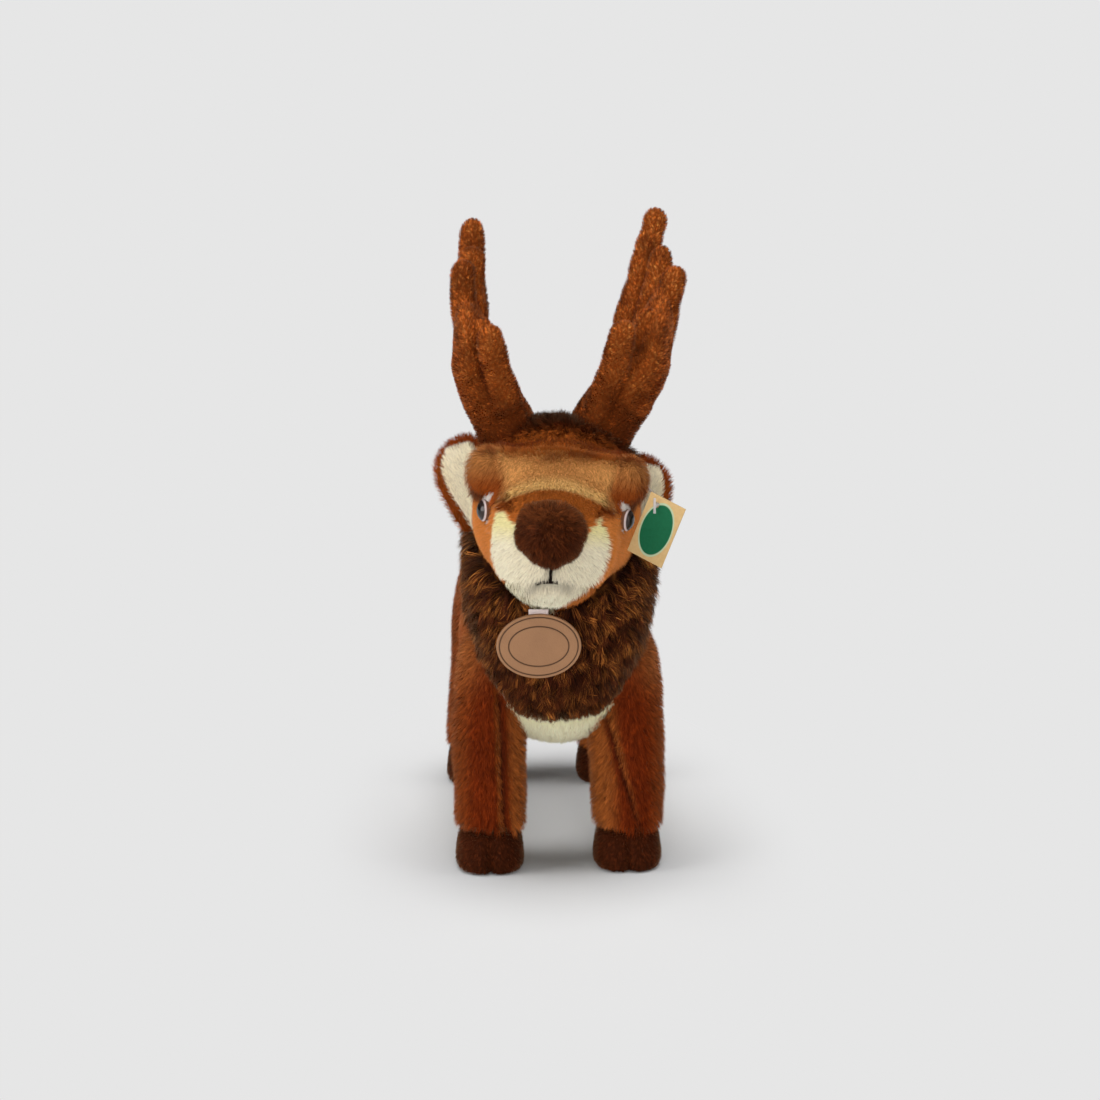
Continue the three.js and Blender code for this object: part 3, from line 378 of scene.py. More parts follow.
class Form:
    """A padded form along one axis. Rows: along, half width, high edge, low edge, middle."""

    def __init__(self, table, rows, order, frame=BODY, shape=None):
        self.rows, self.order, self.frame, self.shape = rows, order, frame, shape
        self.domes, self.square = table["domes"], table["square"]
        self.sink, self.grid = table["sink"], table["grid"]
        self.start, self.end = rows[0][0], rows[-1][0]

    def section(self, s, grow=0.0):
        from_start = (s - self.start + grow) / (self.domes[0] + grow)
        from_end = (self.end + grow - s) / (self.domes[1] + grow)
        near = np.clip(np.minimum(from_start, from_end), 0, 1)
        size = np.sqrt(1 - (1 - near) ** 2)
        half, high, low, middle = between(self.rows, s).T
        return middle, (half + grow) * size, (high + low) / 2, ((high - low) / 2 + grow) * size

    def holds(self, points, grow=0.0):
        """Which points of the modelling frame lie inside the skin grown by an amount."""
        grow = grow - self.sink
        local = self.frame.into(points)
        s, a, b = (local[:, self.order.index(name)] for name in "sab")
        inside = (s > self.start - grow) & (s < self.end + grow)
        middle, half_a, mid_b, half_b = self.section(s, grow)
        across = np.abs((a - middle) / np.maximum(half_a, 1e-6)) ** self.square
        up = np.abs((b - mid_b) / np.maximum(half_b, 1e-6)) ** self.square
        return inside & (across + up < 1)

    def surface(self):
        """The skin's points in the modelling frame and its faces."""
        grow, (around, along) = -self.sink, self.grid
        first, last = self.start - grow, self.end + grow
        lift = 1 - np.cos(np.linspace(0, math.pi / 2, along // 4 + 1)[1:])
        head, tail = first + (self.domes[0] + grow) * lift, last - (self.domes[1] + grow) * lift
        middle = np.linspace(head[-1], tail[-1], along // 2)[1:-1]
        stations = np.concatenate([head, middle, tail[::-1]])
        mid_a, half_a, mid_b, half_b = self.section(stations, grow)
        angle, power = circle(around), 2 / self.square
        a = mid_a[:, None] + half_a[:, None] * squared(np.cos(angle), power)
        b = mid_b[:, None] + half_b[:, None] * squared(np.sin(angle), power)
        s = np.repeat(stations[:, None], around, axis=1)
        ends = self.section(np.array([first, last]), grow)
        s = np.concatenate([s.ravel(), [first, last]])
        a = np.concatenate([a.ravel(), ends[0]])
        b = np.concatenate([b.ravel(), ends[2]])
        if self.shape:
            s, a, b = self.shape(s, a, b)
        parts = {"s": s, "a": a, "b": b}
        points = np.stack([parts[name] for name in self.order], axis=1)
        faces = tube_faces(len(stations), around)
        if self.order == "asb":  # a left-handed order turns the faces inside out
            faces = inside_out(faces)
        return self.frame.out(points), faces


def tube_faces(rings, around, caps=True):
    """Faces of rings of points, with one more point at each end where there are caps."""
    i, j = np.meshgrid(np.arange(rings - 1), np.arange(around), indexing="ij")
    k = (j + 1) % around
    quads = np.stack([i * around + j, i * around + k, (i + 1) * around + k, (i + 1) * around + j], -1)
    faces = [tuple(f) for f in quads.reshape(-1, 4).tolist()]
    if caps:
        low, high = rings * around, rings * around + 1
        faces += [(low, (n + 1) % around, n) for n in range(around)]
        top = (rings - 1) * around
        faces += [(high, top + n, top + (n + 1) % around) for n in range(around)]
    return faces


def inside_out(faces):
    return [tuple(reversed(face)) for face in faces]


def tube(rings, ends, turned=False):
    """The points and faces of rings with a closing point at each end. Turned faces look the other way."""
    rings = np.asarray(rings)
    faces = tube_faces(*rings.shape[:2])
    return np.concatenate([rings.reshape(-1, 3), ends]), inside_out(faces) if turned else faces


def upright_rows(table, side=0):
    """Rows of a form that stands: z, half width, back, front, middle."""
    rows = []
    for up, half, back, front, *shift in table["shares"]:
        z = table["bottom"] + up * table["height"]
        if "front" in table:
            edges = [table["front"] + back * table["depth"], table["front"] + front * table["depth"], 0]
        elif "back" in table:
            edges = [table["back"] - back * table["depth"], table["back"] - front * table["depth"], 0]
        else:
            depth = table["half_depth"]
            middle = side * (table["x"] - shift[0] * table["half_width"])
            edges = [table["y"] + back * depth, table["y"] - front * depth, middle]
        rows.append([z, half * table["half_width"], *edges])
    return rows


def hoof_form(leg, side):
    middle, depth = leg["y"] - HOOF["forward"], HOOF["half_depth"]
    top = leg["bottom"] + HOOF["domes"][1]

    def row(z, share):
        width = share * HOOF["half_width"] * leg["hoof_share"]
        return [z, width, middle + share * depth, middle - share * depth, side * leg["x"]]

    def cleft(z, a, b):
        front = np.clip((middle - b) / depth, 0, 1) * (1 - z / (top * HOOF["cleft_fade"]))
        deep = HOOF["cleft_depth"] * bell(a - side * leg["x"], HOOF["cleft_half_width"]) * front
        return np.maximum(z, 0), a, b + deep

    rows = [row(-HOOF["domes"][0] / 2, 1), row(leg["bottom"] / 2, 1), row(top, HOOF["top_share"])]
    return Form(HOOF, rows, "abs", shape=cleft)


def jaw(s, a, b):
    down = np.clip(-b / (HEAD["bottom"] - HEAD["sink"]), 0, None)
    return s, a * (1 - HEAD["jaw"] * down**4), b


torso_rows = [
    [TORSO["front"] + along * TORSO["length"], half * TORSO["half_width"],
     *(TORSO["bottom"] + edge * TORSO["height"] for edge in edges), 0]
    for along, half, *edges in TORSO["shares"]
]
head_rows = [
    [HEAD["back"] - forward * HEAD["length"], half * HEAD["half_width"], top * HEAD["top"],
     -bottom * HEAD["bottom"], 0]
    for forward, half, top, bottom in reversed(HEAD["shares"])
]
brow_rows = [
    [x, BROW["half_depth"], BROW["z"] + BROW["half_height"], BROW["z"] - BROW["half_height"], BROW["y"]]
    for x in (-BROW["half_length"], 0, BROW["half_length"])
]
torso = Form(TORSO, torso_rows, "asb")
mane = Form(MANE, upright_rows(MANE), "abs")
tail = Form(TAIL, upright_rows(TAIL), "abs")
skull = Form(HEAD, head_rows, "asb", SKULL, jaw)
brow = Form(BROW, brow_rows, "sab", SKULL)
legs, hooves = {}, {}
for place, table in (("front", FRONT_LEG), ("hind", HIND_LEG)):
    for side_name, side in SIDES.items():
        legs[f"{place}_{side_name}"] = Form(table, upright_rows(table, side), "abs")
        hooves[f"{place}_{side_name}"] = hoof_form(table, side)


def ball(table, around=BALL_POINTS):
    """A ball of the head with three half sizes."""
    rings = around // 2
    polar = np.linspace(0, math.pi, rings + 2)[1:-1]
    z = np.repeat(np.cos(polar)[:, None], around, 1)
    x = np.sin(polar)[:, None] * np.cos(circle(around))
    y = np.sin(polar)[:, None] * np.sin(circle(around))
    points, faces = tube(np.stack([x, y, z], -1), [[0, 0, 1], [0, 0, -1]], turned=True)
    return SKULL.out(points * (np.array(table["halves"]) - table["sink"]) + np.array(table["centre"])), faces


def tine(points, side):
    """A round finger along a bent line in the antler's frame."""
    height = ANTLER["height"][side]
    around, flat_steps, dome_steps = ANTLER["tine_grid"]
    start, bend, tip = (np.array([SIDES[side] * p[0], p[1], p[2]]) * height for p in points)
    t = np.linspace(0, 1, ANTLER["line_points"])[:, None]
    line = start * (1 - t) ** 2 + 2 * bend * t * (1 - t) + tip * t * t
    length = np.concatenate([[0], np.cumsum(np.linalg.norm(np.diff(line, axis=0), axis=1))])
    dome, total = ANTLER["tip_radius"], length[-1]
    round_end = total - dome + dome * np.sin(np.linspace(0, math.pi / 2, dome_steps))[1:-1]
    stations = np.concatenate([np.linspace(0, total - dome, flat_steps), round_end])
    near = np.minimum(1, (total - stations) / dome)
    slimmer = (ANTLER["tip_radius"] - ANTLER["palm_radius"]) * stations / total
    radius = (ANTLER["palm_radius"] + slimmer - ANTLER["sink"]) * np.sqrt(1 - (1 - near) ** 2)
    centre = np.stack([np.interp(stations, length, line[:, k]) for k in range(3)], 1)
    slopes = (np.gradient(line[:, k], length) for k in range(3))
    ahead = unit(np.stack([np.interp(stations, length, slope) for slope in slopes], 1))
    across = unit(np.array([1.0, 0, 0]) - ahead * ahead[:, :1])
    back = np.cross(ahead, across)
    cos, sin = (f(circle(around))[None, :, None] for f in (np.cos, np.sin))
    body = centre[:, None] + (across[:, None] * cos + back[:, None] * sin) * radius[:, None, None]
    return tube(body, [line[0], line[-1]])


def antler_surfaces(side):
    height, sign = ANTLER["height"][side], SIDES[side]
    rows = [
        [up * height, half * height, back * height, front * height, sign * out * height]
        for up, half, back, front, out in ANTLER["palm_shares"]
    ]
    here = antler_frame(side)
    domes = {"domes": [ANTLER["foot_dome"], ANTLER["palm_dome"] * height]}
    surfaces = [Form({**ANTLER, **domes}, rows, "abs", here).surface()]
    for points in ANTLER["tine_shares"][side]:
        made, faces = tine(points, side)
        surfaces.append((here.out(made), faces))
    return surfaces


# Meshes


def object_of(name, points, faces):
    mesh = bpy.data.meshes.new(name)
    mesh.from_pydata(to_part(points).tolist(), [], faces)
    mesh.validate()
    mesh.shade_smooth()
    made = bpy.data.objects.new(name, mesh)
    bpy.context.scene.collection.objects.link(made)
    return made


def read_mesh(made):
    """A mesh's points in the modelling frame and its normals."""
    mesh = made.data
    points = np.empty(len(mesh.vertices) * 3)
    mesh.vertices.foreach_get("co", points)
    normals = np.empty(len(mesh.vertices) * 3, np.float32)
    mesh.vertex_normals.foreach_get("vector", normals)
    return points.reshape(-1, 3) / MM - ORIGIN, normals.reshape(-1, 3)


def write_points(made, points):
    made.data.vertices.foreach_set("co", to_part(points).ravel())
    made.data.update()


def fused(name, surfaces, fusing):
    """One smooth skin round several closed surfaces, from a voxel size and rounds of smoothing."""
    points, faces = [], []
    for some, those in surfaces:
        start = sum(len(p) for p in points)
        points.append(some)
        faces += [tuple(start + k for k in face) for face in those]
    made = object_of(name, np.concatenate(points), faces)
    remesh = made.modifiers.new("remesh", "REMESH")
    remesh.mode = "VOXEL"
    remesh.voxel_size = fusing[0] * MM
    smooth = made.modifiers.new("smooth", "SMOOTH")
    smooth.factor = 0.5
    smooth.iterations = fusing[1]
    graph = bpy.context.evaluated_depsgraph_get()
    mesh = bpy.data.meshes.new_from_object(made.evaluated_get(graph))
    made.modifiers.clear()
    made.data = mesh
    mesh.name = name
    mesh.shade_smooth()
    return made


def swell(made, swelling, number=0):
    """Uneven stuffing: the skin moves in and out a little along its normals."""
    size, depth, seed = swelling
    points, normals = read_mesh(made)
    write_points(made, points + normals * (waves(points, size, seed + number) * depth)[:, None])


def split(made, name, chosen):
    """Moves the faces whose middles are chosen into a piece of their own."""
    points, _ = read_mesh(made)
    faces = [tuple(p.vertices) for p in made.data.polygons]
    mask = chosen(np.array([points[list(face)].mean(0) for face in faces]))
    pieces = []
    for part in (mask, ~mask):
        kept = [face for face, yes in zip(faces, part) if yes]
        used = sorted({v for face in kept for v in face})
        index = {v: n for n, v in enumerate(used)}
        pieces.append((points[used], [tuple(index[v] for v in face) for face in kept]))
    cut = object_of(name, *pieces[0])
    rest = bpy.data.meshes.new(made.name)
    rest.from_pydata(to_part(pieces[1][0]).tolist(), [], pieces[1][1])
    rest.shade_smooth()
    made.data = rest
    return cut


def relaxed(made, share_at, rounds):
    """A skin's points smoothed where they have a share."""
    points, _ = read_mesh(made)
    edges = np.empty(len(made.data.edges) * 2, np.int32)
    made.data.edges.foreach_get("vertices", edges)
    a, b = edges.reshape(-1, 2).T
    beside = np.bincount(edges, minlength=len(points))[:, None]
    share = share_at(points)[:, None] / 2
    for _ in range(rounds):
        sums = (np.bincount(a, p[b], len(p)) + np.bincount(b, p[a], len(p)) for p in points.T)
        total = np.stack(list(sums), 1)
        points = points + (total / beside - points) * share
    return points


def tree_of(points):
    tree = KDTree(len(points))
    for n, point in enumerate(points):
        tree.insert(point, n)
    tree.balance()
    return tree


def hollows(made, rounds):
    """How deep a place of the skin lies below its smoothed form."""
    points, normals = read_mesh(made)
    smooth = relaxed(made, lambda places: np.ones(len(places)), rounds)
    depth = ((smooth - points) * normals).sum(1)
    tree = tree_of(points)
    return lambda places: depth[[tree.find(place)[1] for place in places]]


def paint(made, colours):
    """Writes linear colours on the points of a mesh."""
    layer = made.data.color_attributes.new("colour", "FLOAT_COLOR", "POINT")
    rgba = np.ones((len(colours), 4), np.float32)
    rgba[:, :3] = np.clip(colours, 0, 1)
    layer.data.foreach_set("color", rgba.ravel())


def stand_for(piece, look, slot, *nodes, body="deer"):
    """Gives a piece its look and what it moves with, and hides the parts that it stands for."""
    piece.data.materials.append(look)
    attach(piece, body)
    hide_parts(*nodes)


# Pile

PILE = {
    "most": 60000,  # strands in one piece
    "root_depth": 0.4,  # below the skin
    "floor_clear": 0.1,  # strands end this far above the floor
    "lengths": [0.75, 1.12], "widths": [0.75, 1.2], "taper": 0.25, "droop": 0.1, "segments": 2,
    "lean_spread": 6, "roll_spread": 0.5, "normal_spread": 0.14, "shade_power": 0.8,
    "cell_across": [0.15, 0.85], "cell_up": [0.12, 0.76],
}
# Lean is from the skin's normal, at the root and at the tip. Stray turns strands off the flow, and
# vary makes neighbours lighter and darker.
COATS = {
    "body": {"length": 5, "density": 4.2, "width": 0.22, "lean": [18, 58], "stray": 0.42, "vary": 0.24,
             "tuft": {"reach": 1.4, "strands": 6, "pull": 0.4, "vary": 0.16}},
    "belly": {"length": 5.2, "density": 4.4, "width": 0.26, "lean": [26, 62], "stray": 0.35, "vary": 0.07,
              "pale": True, "tuft": {"reach": 2.5, "strands": 12, "pull": 0.4}},
    "tail": {"length": 8, "density": 3.4, "width": 0.27, "lean": [25, 60], "stray": 0.25, "vary": 0.12},
    "mane": {"length": 11, "density": 3.4, "width": 0.25, "lean": [24, 66], "stray": 0.55, "vary": 0.35,
             "droop": 0.25, "segments": 3, "tuft": {"reach": 3, "strands": 13, "pull": 0.62, "vary": 0.38}},
    "crown": {"length": 8.5, "density": 4, "width": 0.24, "lean": [24, 64], "stray": 0.3, "vary": 0.2,
              "segments": 3, "tuft": {"reach": 3, "strands": 14, "pull": 0.3, "vary": 0.25}},
    "cheek": {"length": 3.8, "density": 5.5, "width": 0.21, "lean": [32, 66], "stray": 0.15, "vary": 0.1},
    "forehead": {"length": 4.6, "density": 5.5, "width": 0.21, "lean": [28, 64], "stray": 0.2, "vary": 0.11},
    "brow": {"length": 5.4, "density": 5.5, "width": 0.22, "lean": [28, 64], "stray": 0.22, "vary": 0.13},
    "muzzle": {"length": 3.6, "density": 6, "width": 0.21, "lean": [20, 55], "stray": 0.35, "vary": 0.05,
               "pale": True, "tuft": {"reach": 1.6, "strands": 8, "pull": 0.35}},
    "chin": {"length": 4.6, "density": 6, "width": 0.22, "lean": [22, 58], "stray": 0.3, "vary": 0.06,
             "pale": True, "tuft": {"reach": 1.8, "strands": 9, "pull": 0.35}},
    "nose": {"length": 3.6, "density": 6.5, "width": 0.22, "lean": [18, 62], "stray": 0.45, "vary": 0.24,
             "tuft": {"reach": 2, "strands": 9, "pull": 0.4, "vary": 0.22}},
    "hoof": {"length": 2.6, "density": 5.5, "width": 0.22, "lean": [20, 55], "stray": 0.35, "vary": 0.16,
             "tuft": {"reach": 1.6, "strands": 9, "pull": 0.4, "vary": 0.25}},
    "antler": {"length": 2.1, "density": 6, "width": 0.2, "lean": [18, 52], "stray": 0.5, "vary": 0.26,
               "tuft": {"reach": 1.5, "strands": 8, "pull": 0.5, "vary": 0.34}},
    "ear": {"length": 4, "density": 5, "width": 0.23, "lean": [26, 58], "stray": 0.25, "vary": 0.12},
    "lining": {"length": 3.2, "density": 6, "width": 0.22, "lean": [26, 66], "stray": 0.2, "vary": 0.05,
               "pale": True},
}


def scatter(made, density, generator):
    """Random points on a skin with their normals, so many to the square millimetre."""
    mesh = made.data
    mesh.calc_loop_triangles()
    triangles = np.empty(len(mesh.loop_triangles) * 3, np.int32)
    mesh.loop_triangles.foreach_get("vertices", triangles)
    triangles = triangles.reshape(-1, 3)
    points, normals = read_mesh(made)
    a, b, c = (points[triangles[:, k]] for k in range(3))
    area = np.linalg.norm(np.cross(b - a, c - a), axis=1) / 2
    count = int(area.sum() * density)
    corners = triangles[generator.choice(len(area), count, p=area / area.sum())]
    u, v = generator.random((2, count))
    over = u + v > 1
    u[over], v[over] = 1 - u[over], 1 - v[over]
    shares = (1 - u - v, u, v)
    place = sum(points[corners[:, k]] * share[:, None] for k, share in enumerate(shares))
    normal = sum(normals[corners[:, k]] * share[:, None] for k, share in enumerate(shares))
    return place, unit(normal)


def tufts_of(roots, tuft, generator):
    """The strand in the middle of the tuft that each strand belongs to."""
    count = max(8, len(roots) // tuft["strands"])
    centres = generator.choice(len(roots), count, replace=False)
    tree = tree_of(roots[centres])
    return centres[[tree.find(root)[1] for root in roots]]


def strand_lines(roots, normals, along, length, coat, middles, generator):
    """The points along each strand, from its root to its tip."""
    count, segments = len(roots), coat.get("segments", PILE["segments"])
    spread = PILE["lean_spread"]
    root_lean, tip_lean = (np.radians(lean + generator.normal(size=count) * spread) for lean in coat["lean"])
    down = np.array([0, 0, -coat.get("droop", PILE["droop"])])
    start = unit(normals * np.cos(root_lean)[:, None] + along * np.sin(root_lean)[:, None])
    finish = unit(normals * np.cos(tip_lean)[:, None] + along * np.sin(tip_lean)[:, None] + down)
    line = [roots - normals * PILE["root_depth"]]
    for k in range(segments):
        heading = unit(mix(start, finish, np.full(count, (k + 0.5) / segments)))
        line.append(line[-1] + heading * (length / segments)[:, None])
    if "tuft" in coat:
        reach = coat["tuft"]["reach"]
        away = np.linalg.norm(roots - roots[middles], axis=1)
        pull = coat["tuft"]["pull"] * ramp(away, reach * 1.5, reach / 2)
        shift = (line[-1][middles] - line[-1]) * pull[:, None]
        for k in range(1, segments + 1):
            line[k] = line[k] + shift * (k / segments) ** 1.5
    return line, start


def pile(name, skin, coat_name, colour, flow, keep=None, frame=BODY, length_at=None):
    """Strands of pile on a skin, as mesh pieces that taper to a point."""
    coat = COATS[coat_name]
    generator = np.random.default_rng(zlib.crc32(name.encode()))
    roots, normals = scatter(skin, coat["density"], generator)
    if keep is not None:
        kept = keep(roots)
        roots, normals = roots[kept], normals[kept]
    count, segments = len(roots), coat.get("segments", PILE["segments"])
    at = frame.at(roots, normals)
    along = flow(at) @ frame.axes.T + generator.normal(size=(count, 3)) * coat["stray"]
    along = unit(along - normals * (along * normals).sum(1, keepdims=True))
    length = coat["length"] * generator.uniform(*PILE["lengths"], count)
    if length_at is not None:
        length = length * length_at(at)
    gain = generator.normal(size=count) * coat["vary"]
    middles = None
    if "tuft" in coat:
        middles = tufts_of(roots, coat["tuft"], generator)
        gain += generator.normal(size=count)[middles] * coat["tuft"].get("vary", 0)
    line, start = strand_lines(roots, normals, along, length, coat, middles, generator)

    side = unit(np.cross(start, normals) + along * 1e-6)
    roll = generator.normal(size=count) * PILE["roll_spread"]
    side = unit(side * np.cos(roll)[:, None] + np.cross(start, side) * np.sin(roll)[:, None])
    half = coat["width"] * generator.uniform(*PILE["widths"], count) / 2
    rows, heights = [], []
    for k in range(segments):
        spread = side * (half * (1 - PILE["taper"] * k / segments))[:, None]
        rows += [line[k] - spread, line[k] + spread]
        heights += [k / segments, k / segments]
    rows.append(line[-1])
    heights = np.array([*heights, 1])
    points, per = np.stack(rows, 1), len(rows)
    points[:, :, 2] = np.maximum(points[:, :, 2], PILE["floor_clear"])

    triangles = []
    for k in range(segments - 1):
        triangles += [[2 * k, 2 * k + 1, 2 * k + 3], [2 * k, 2 * k + 3, 2 * k + 2]]
    triangles = np.array([*triangles, [2 * segments - 2, 2 * segments - 1, 2 * segments]])
    a, b, c = (points[:, triangles[0][k]] for k in range(3))
    away = (np.cross(b - a, c - a) * normals).sum(1) < 0
    corners = np.where(away[:, None, None], triangles[None][:, :, [0, 2, 1]], triangles[None])

    root, tip = (shade * np.exp(gain)[:, None] for shade in colour(at, generator))
    shades = root[:, None] + (tip - root)[:, None] * heights[None, :, None] ** PILE["shade_power"]
    soft = unit(normals + generator.normal(size=(count, 3)) * PILE["normal_spread"])

    pieces = []
    chunks = math.ceil(count / PILE["most"])
    across = np.array(PILE["cell_across"] * segments + [0.5])
    rising = PILE["cell_up"][0] + PILE["cell_up"][1] * heights
    for number in range(chunks):
        part = slice(number, count, chunks)
        some = len(points[part])
        cells = math.ceil(math.sqrt(some))
        index = np.arange(some)
        cell = np.stack([index % cells, index // cells], 1)
        spots = (cell[:, None] + np.stack([across, rising], 1)[None]) / cells
        joined = corners[part] + (index * per)[:, None, None]
        shading = np.repeat(soft[part][:, None], per, 1)
        label = name if chunks == 1 else f"{name}_{number + 1}"
        fur = mesh_of_triangles(label, points[part], joined, shading, spots)
        paint(fur, shades[part].reshape(-1, 3))
        fur.data.materials.append(pale_look if coat.get("pale") else pile_look)
        pieces.append(fur)
    return pieces


def mesh_of_triangles(name, points, corners, normals, spots):
    mesh = bpy.data.meshes.new(name)
    mesh.vertices.add(points.size // 3)
    mesh.vertices.foreach_set("co", to_part(points).ravel())
    mesh.loops.add(corners.size)
    mesh.loops.foreach_set("vertex_index", corners.ravel().astype(np.int32))
    mesh.polygons.add(corners.size // 3)
    mesh.polygons.foreach_set("loop_start", np.arange(0, corners.size, 3, dtype=np.int32))
    mesh.update(calc_edges=True)
    mesh.shade_smooth()
    layer = mesh.uv_layers.new(name="OFBake")
    layer.data.foreach_set("uv", spots.reshape(-1, 2)[corners.ravel()].ravel())
    mesh.normals_split_custom_set_from_vertices(normals.reshape(-1, 3).tolist())
    made = bpy.data.objects.new(name, mesh)
    bpy.context.scene.collection.objects.link(made)
    return made


# Looks


def add_node(tree, kind, values=None, **settings):
    """Adds a node. A value that is another node's output is joined, any other is set."""
    node = tree.nodes.new(kind)
    for key, value in settings.items():
        setattr(node, key, value)
    for key, value in (values or {}).items():
        socket = node.inputs[key]
        if isinstance(value, bpy.types.NodeSocket):
            tree.links.new(value, socket)
        else:
            socket.default_value = (*value, 1) if socket.type == "RGBA" else value
    return node


class Nodes:
    """A material whose nodes are added and joined by name."""

    def __init__(self, name):
        self.material = bpy.data.materials.new(name)
        self.material.use_nodes = True
        self.tree = self.material.node_tree
        self.shader = self.tree.nodes["Principled BSDF"]

    def add(self, kind, values=None, output=0, **settings):
        return add_node(self.tree, kind, values, **settings).outputs[output]

    def join(self, source, key):
        self.tree.links.new(source, self.shader.inputs[key])

    def set(self, **values):
        for key, value in values.items():
            self.shader.inputs[key.replace("_", " ")].default_value = value
        return self.material

    def mixed(self, share, a, b, blend="MIX"):
        return self.add("ShaderNodeMix", {0: share, 6: a, 7: b}, 2, data_type="RGBA", blend_type=blend)

    def maths(self, operation, *values):
        return self.add("ShaderNodeMath", dict(enumerate(values)), operation=operation)

    def vector(self, operation, *values, output=0):
        return self.add("ShaderNodeVectorMath", dict(enumerate(values)), output, operation=operation)

    def ranged(self, source, low, high, key="From", **settings):
        """Runs from 0 to 1 between two values, or between two values from 0 to 1."""
        values = {"Value": source, f"{key} Min": low, f"{key} Max": high}
        return self.add("ShaderNodeMapRange", values, **settings)

    def place(self):
        return self.add("ShaderNodeTexCoord", output="Object")

    def noise(self, size, detail=2, roughness=0.5):
        values = {"Vector": self.place(), "Scale": 1 / (size * MM), "Detail": detail, "Roughness": roughness}
        return self.add("ShaderNodeTexNoise", values)

    def weave(self, scale, distortion, **settings):
        values = {"Vector": self.place(), "Scale": scale / MM, "Distortion": distortion}
        return self.add("ShaderNodeTexWave", values, **settings)

    def bump(self, height, strength, distance):
        values = {"Height": height, "Strength": strength, "Distance": distance * MM}
        self.join(self.add("ShaderNodeBump", values), "Normal")

    def painted(self, size, low, high):
        """The colour of the points with fine streaks."""
        shade = self.ranged(self.noise(size, 3), low, high, "To")
        grey = self.add("ShaderNodeCombineColor", {0: shade, 1: shade, 2: shade})
        colour = self.add("ShaderNodeVertexColor", layer_name="colour")
        self.join(self.mixed(1.0, colour, grey, "MULTIPLY"), "Base Color")
        return self

    def threaded(self, source, low, high, strength, distance):
        """Two colours and a relief that follow one pattern."""
        self.join(self.mixed(source, linear(*low), linear(*high)), "Base Color")
        self.bump(source, strength, distance)
        return self


pile_look = Nodes("pile").painted(1.1, 0.8, 1.2).set(
    Roughness=0.65, Specular_IOR_Level=0.05, Sheen_Weight=0.25, Sheen_Roughness=0.35,
    Sheen_Tint=(1, 0.58, 0.3, 1),
)
pale_look = Nodes("pale_pile").painted(1.1, 0.9, 1.1).set(Roughness=0.7, Specular_IOR_Level=0.1)
ground = Nodes("ground").painted(0.8, 0.6, 1.1)
ground.bump(ground.noise(0.8, 3), 0.5, 0.4)
ground_look = ground.set(Roughness=0.95, Specular_IOR_Level=0.05)
eye_look = Nodes("eye_glass").painted(0.5, 0.8, 1.2).set(
    Roughness=0.12, Specular_IOR_Level=0.3, Coat_Weight=0.2, Coat_Roughness=0.03
)
felt = Nodes("felt")
felt.threaded(felt.noise(0.6, 6, 0.7), (172, 162, 152), (236, 228, 220), 0.6, 0.5)
felt_look = felt.set(Roughness=0.95, Specular_IOR_Level=0.1)
leather = Nodes("leather").painted(7, 0.88, 1.12)
leather.bump(leather.add("ShaderNodeTexVoronoi", {"Vector": leather.place(), "Scale": 1.6 / MM}), 0.3, 0.3)
leather_look = leather.set(Roughness=0.6, Specular_IOR_Level=0.3)
satin = Nodes("satin")
satin.threaded(satin.weave(1.1, 1.5, bands_direction="Z"), (206, 184, 180), (236, 222, 218), 0.4, 0.2)
satin_look = satin.set(Roughness=0.4, Sheen_Weight=0.5)
thread = Nodes("thread")
thread.threaded(thread.weave(0.8, 0.5), (9, 6, 5), (26, 16, 12), 0.5, 0.2)
thread_look = thread.set(Roughness=0.9, Specular_IOR_Level=0.05)
plastic = Nodes("clear_plastic")
plastic.join(plastic.mixed(plastic.noise(2), linear(214, 206, 204), linear(244, 240, 240)), "Base Color")
plastic_look = plastic.set(Roughness=0.25, Transmission_Weight=0.5)

# Colours of the pile as they look from a step away. Some are painted light and shade: rim light on the sides
# and shoulders, shadow on the bridge under the fringe, the nose's highlight, and the antlers' sheen and
# shaded hollows.

TONES = {
    "rust": (120, 43, 8), "rust_dark": (98, 34, 6), "leg_edge": (172, 96, 42), "shoulder": (222, 140, 76),
    "cheek": (206, 122, 56), "brow": (150, 71, 23), "gold": (226, 162, 92), "pale_gold": (248, 202, 126),
    "bridge": (184, 100, 38), "cream": (248, 236, 208), "lime": (238, 226, 154), "chin": (252, 240, 212),
    "belly": (255, 245, 208), "lining": (240, 224, 188), "mane": (52, 20, 6), "mane_gold": (152, 90, 38),
    "crown": (86, 32, 8), "crown_front": (164, 84, 28), "nose": (70, 30, 10), "nose_tip": (112, 58, 24),
    "hoof": (72, 30, 10), "antler": (158, 76, 25), "antler_gold_sheen": (198, 116, 54), "antler_dark": (92, 38, 10),
}
# Of the root and the tip
PALE, GOLDEN, USUAL = [0.85, 1.12], [0.65, 1.25], [0.5, 1.35]
CONTRASTS = {
    "cream": PALE, "lime": PALE, "chin": PALE, "belly": PALE, "lining": PALE, "gold": GOLDEN,
    "pale_gold": GOLDEN, "mane": [0.25, 1.6], "mane_gold": [0.2, 1.5], "antler": [0.4, 1.45],
    "antler_gold_sheen": [0.35, 1.5],
}
# The ground cloth stays near the roots' colour: darker than the pile, as painted shade deep between the
# strands.
GROUND_SHARE = 0.25  # how far the ground cloth's colour lies from root to tip


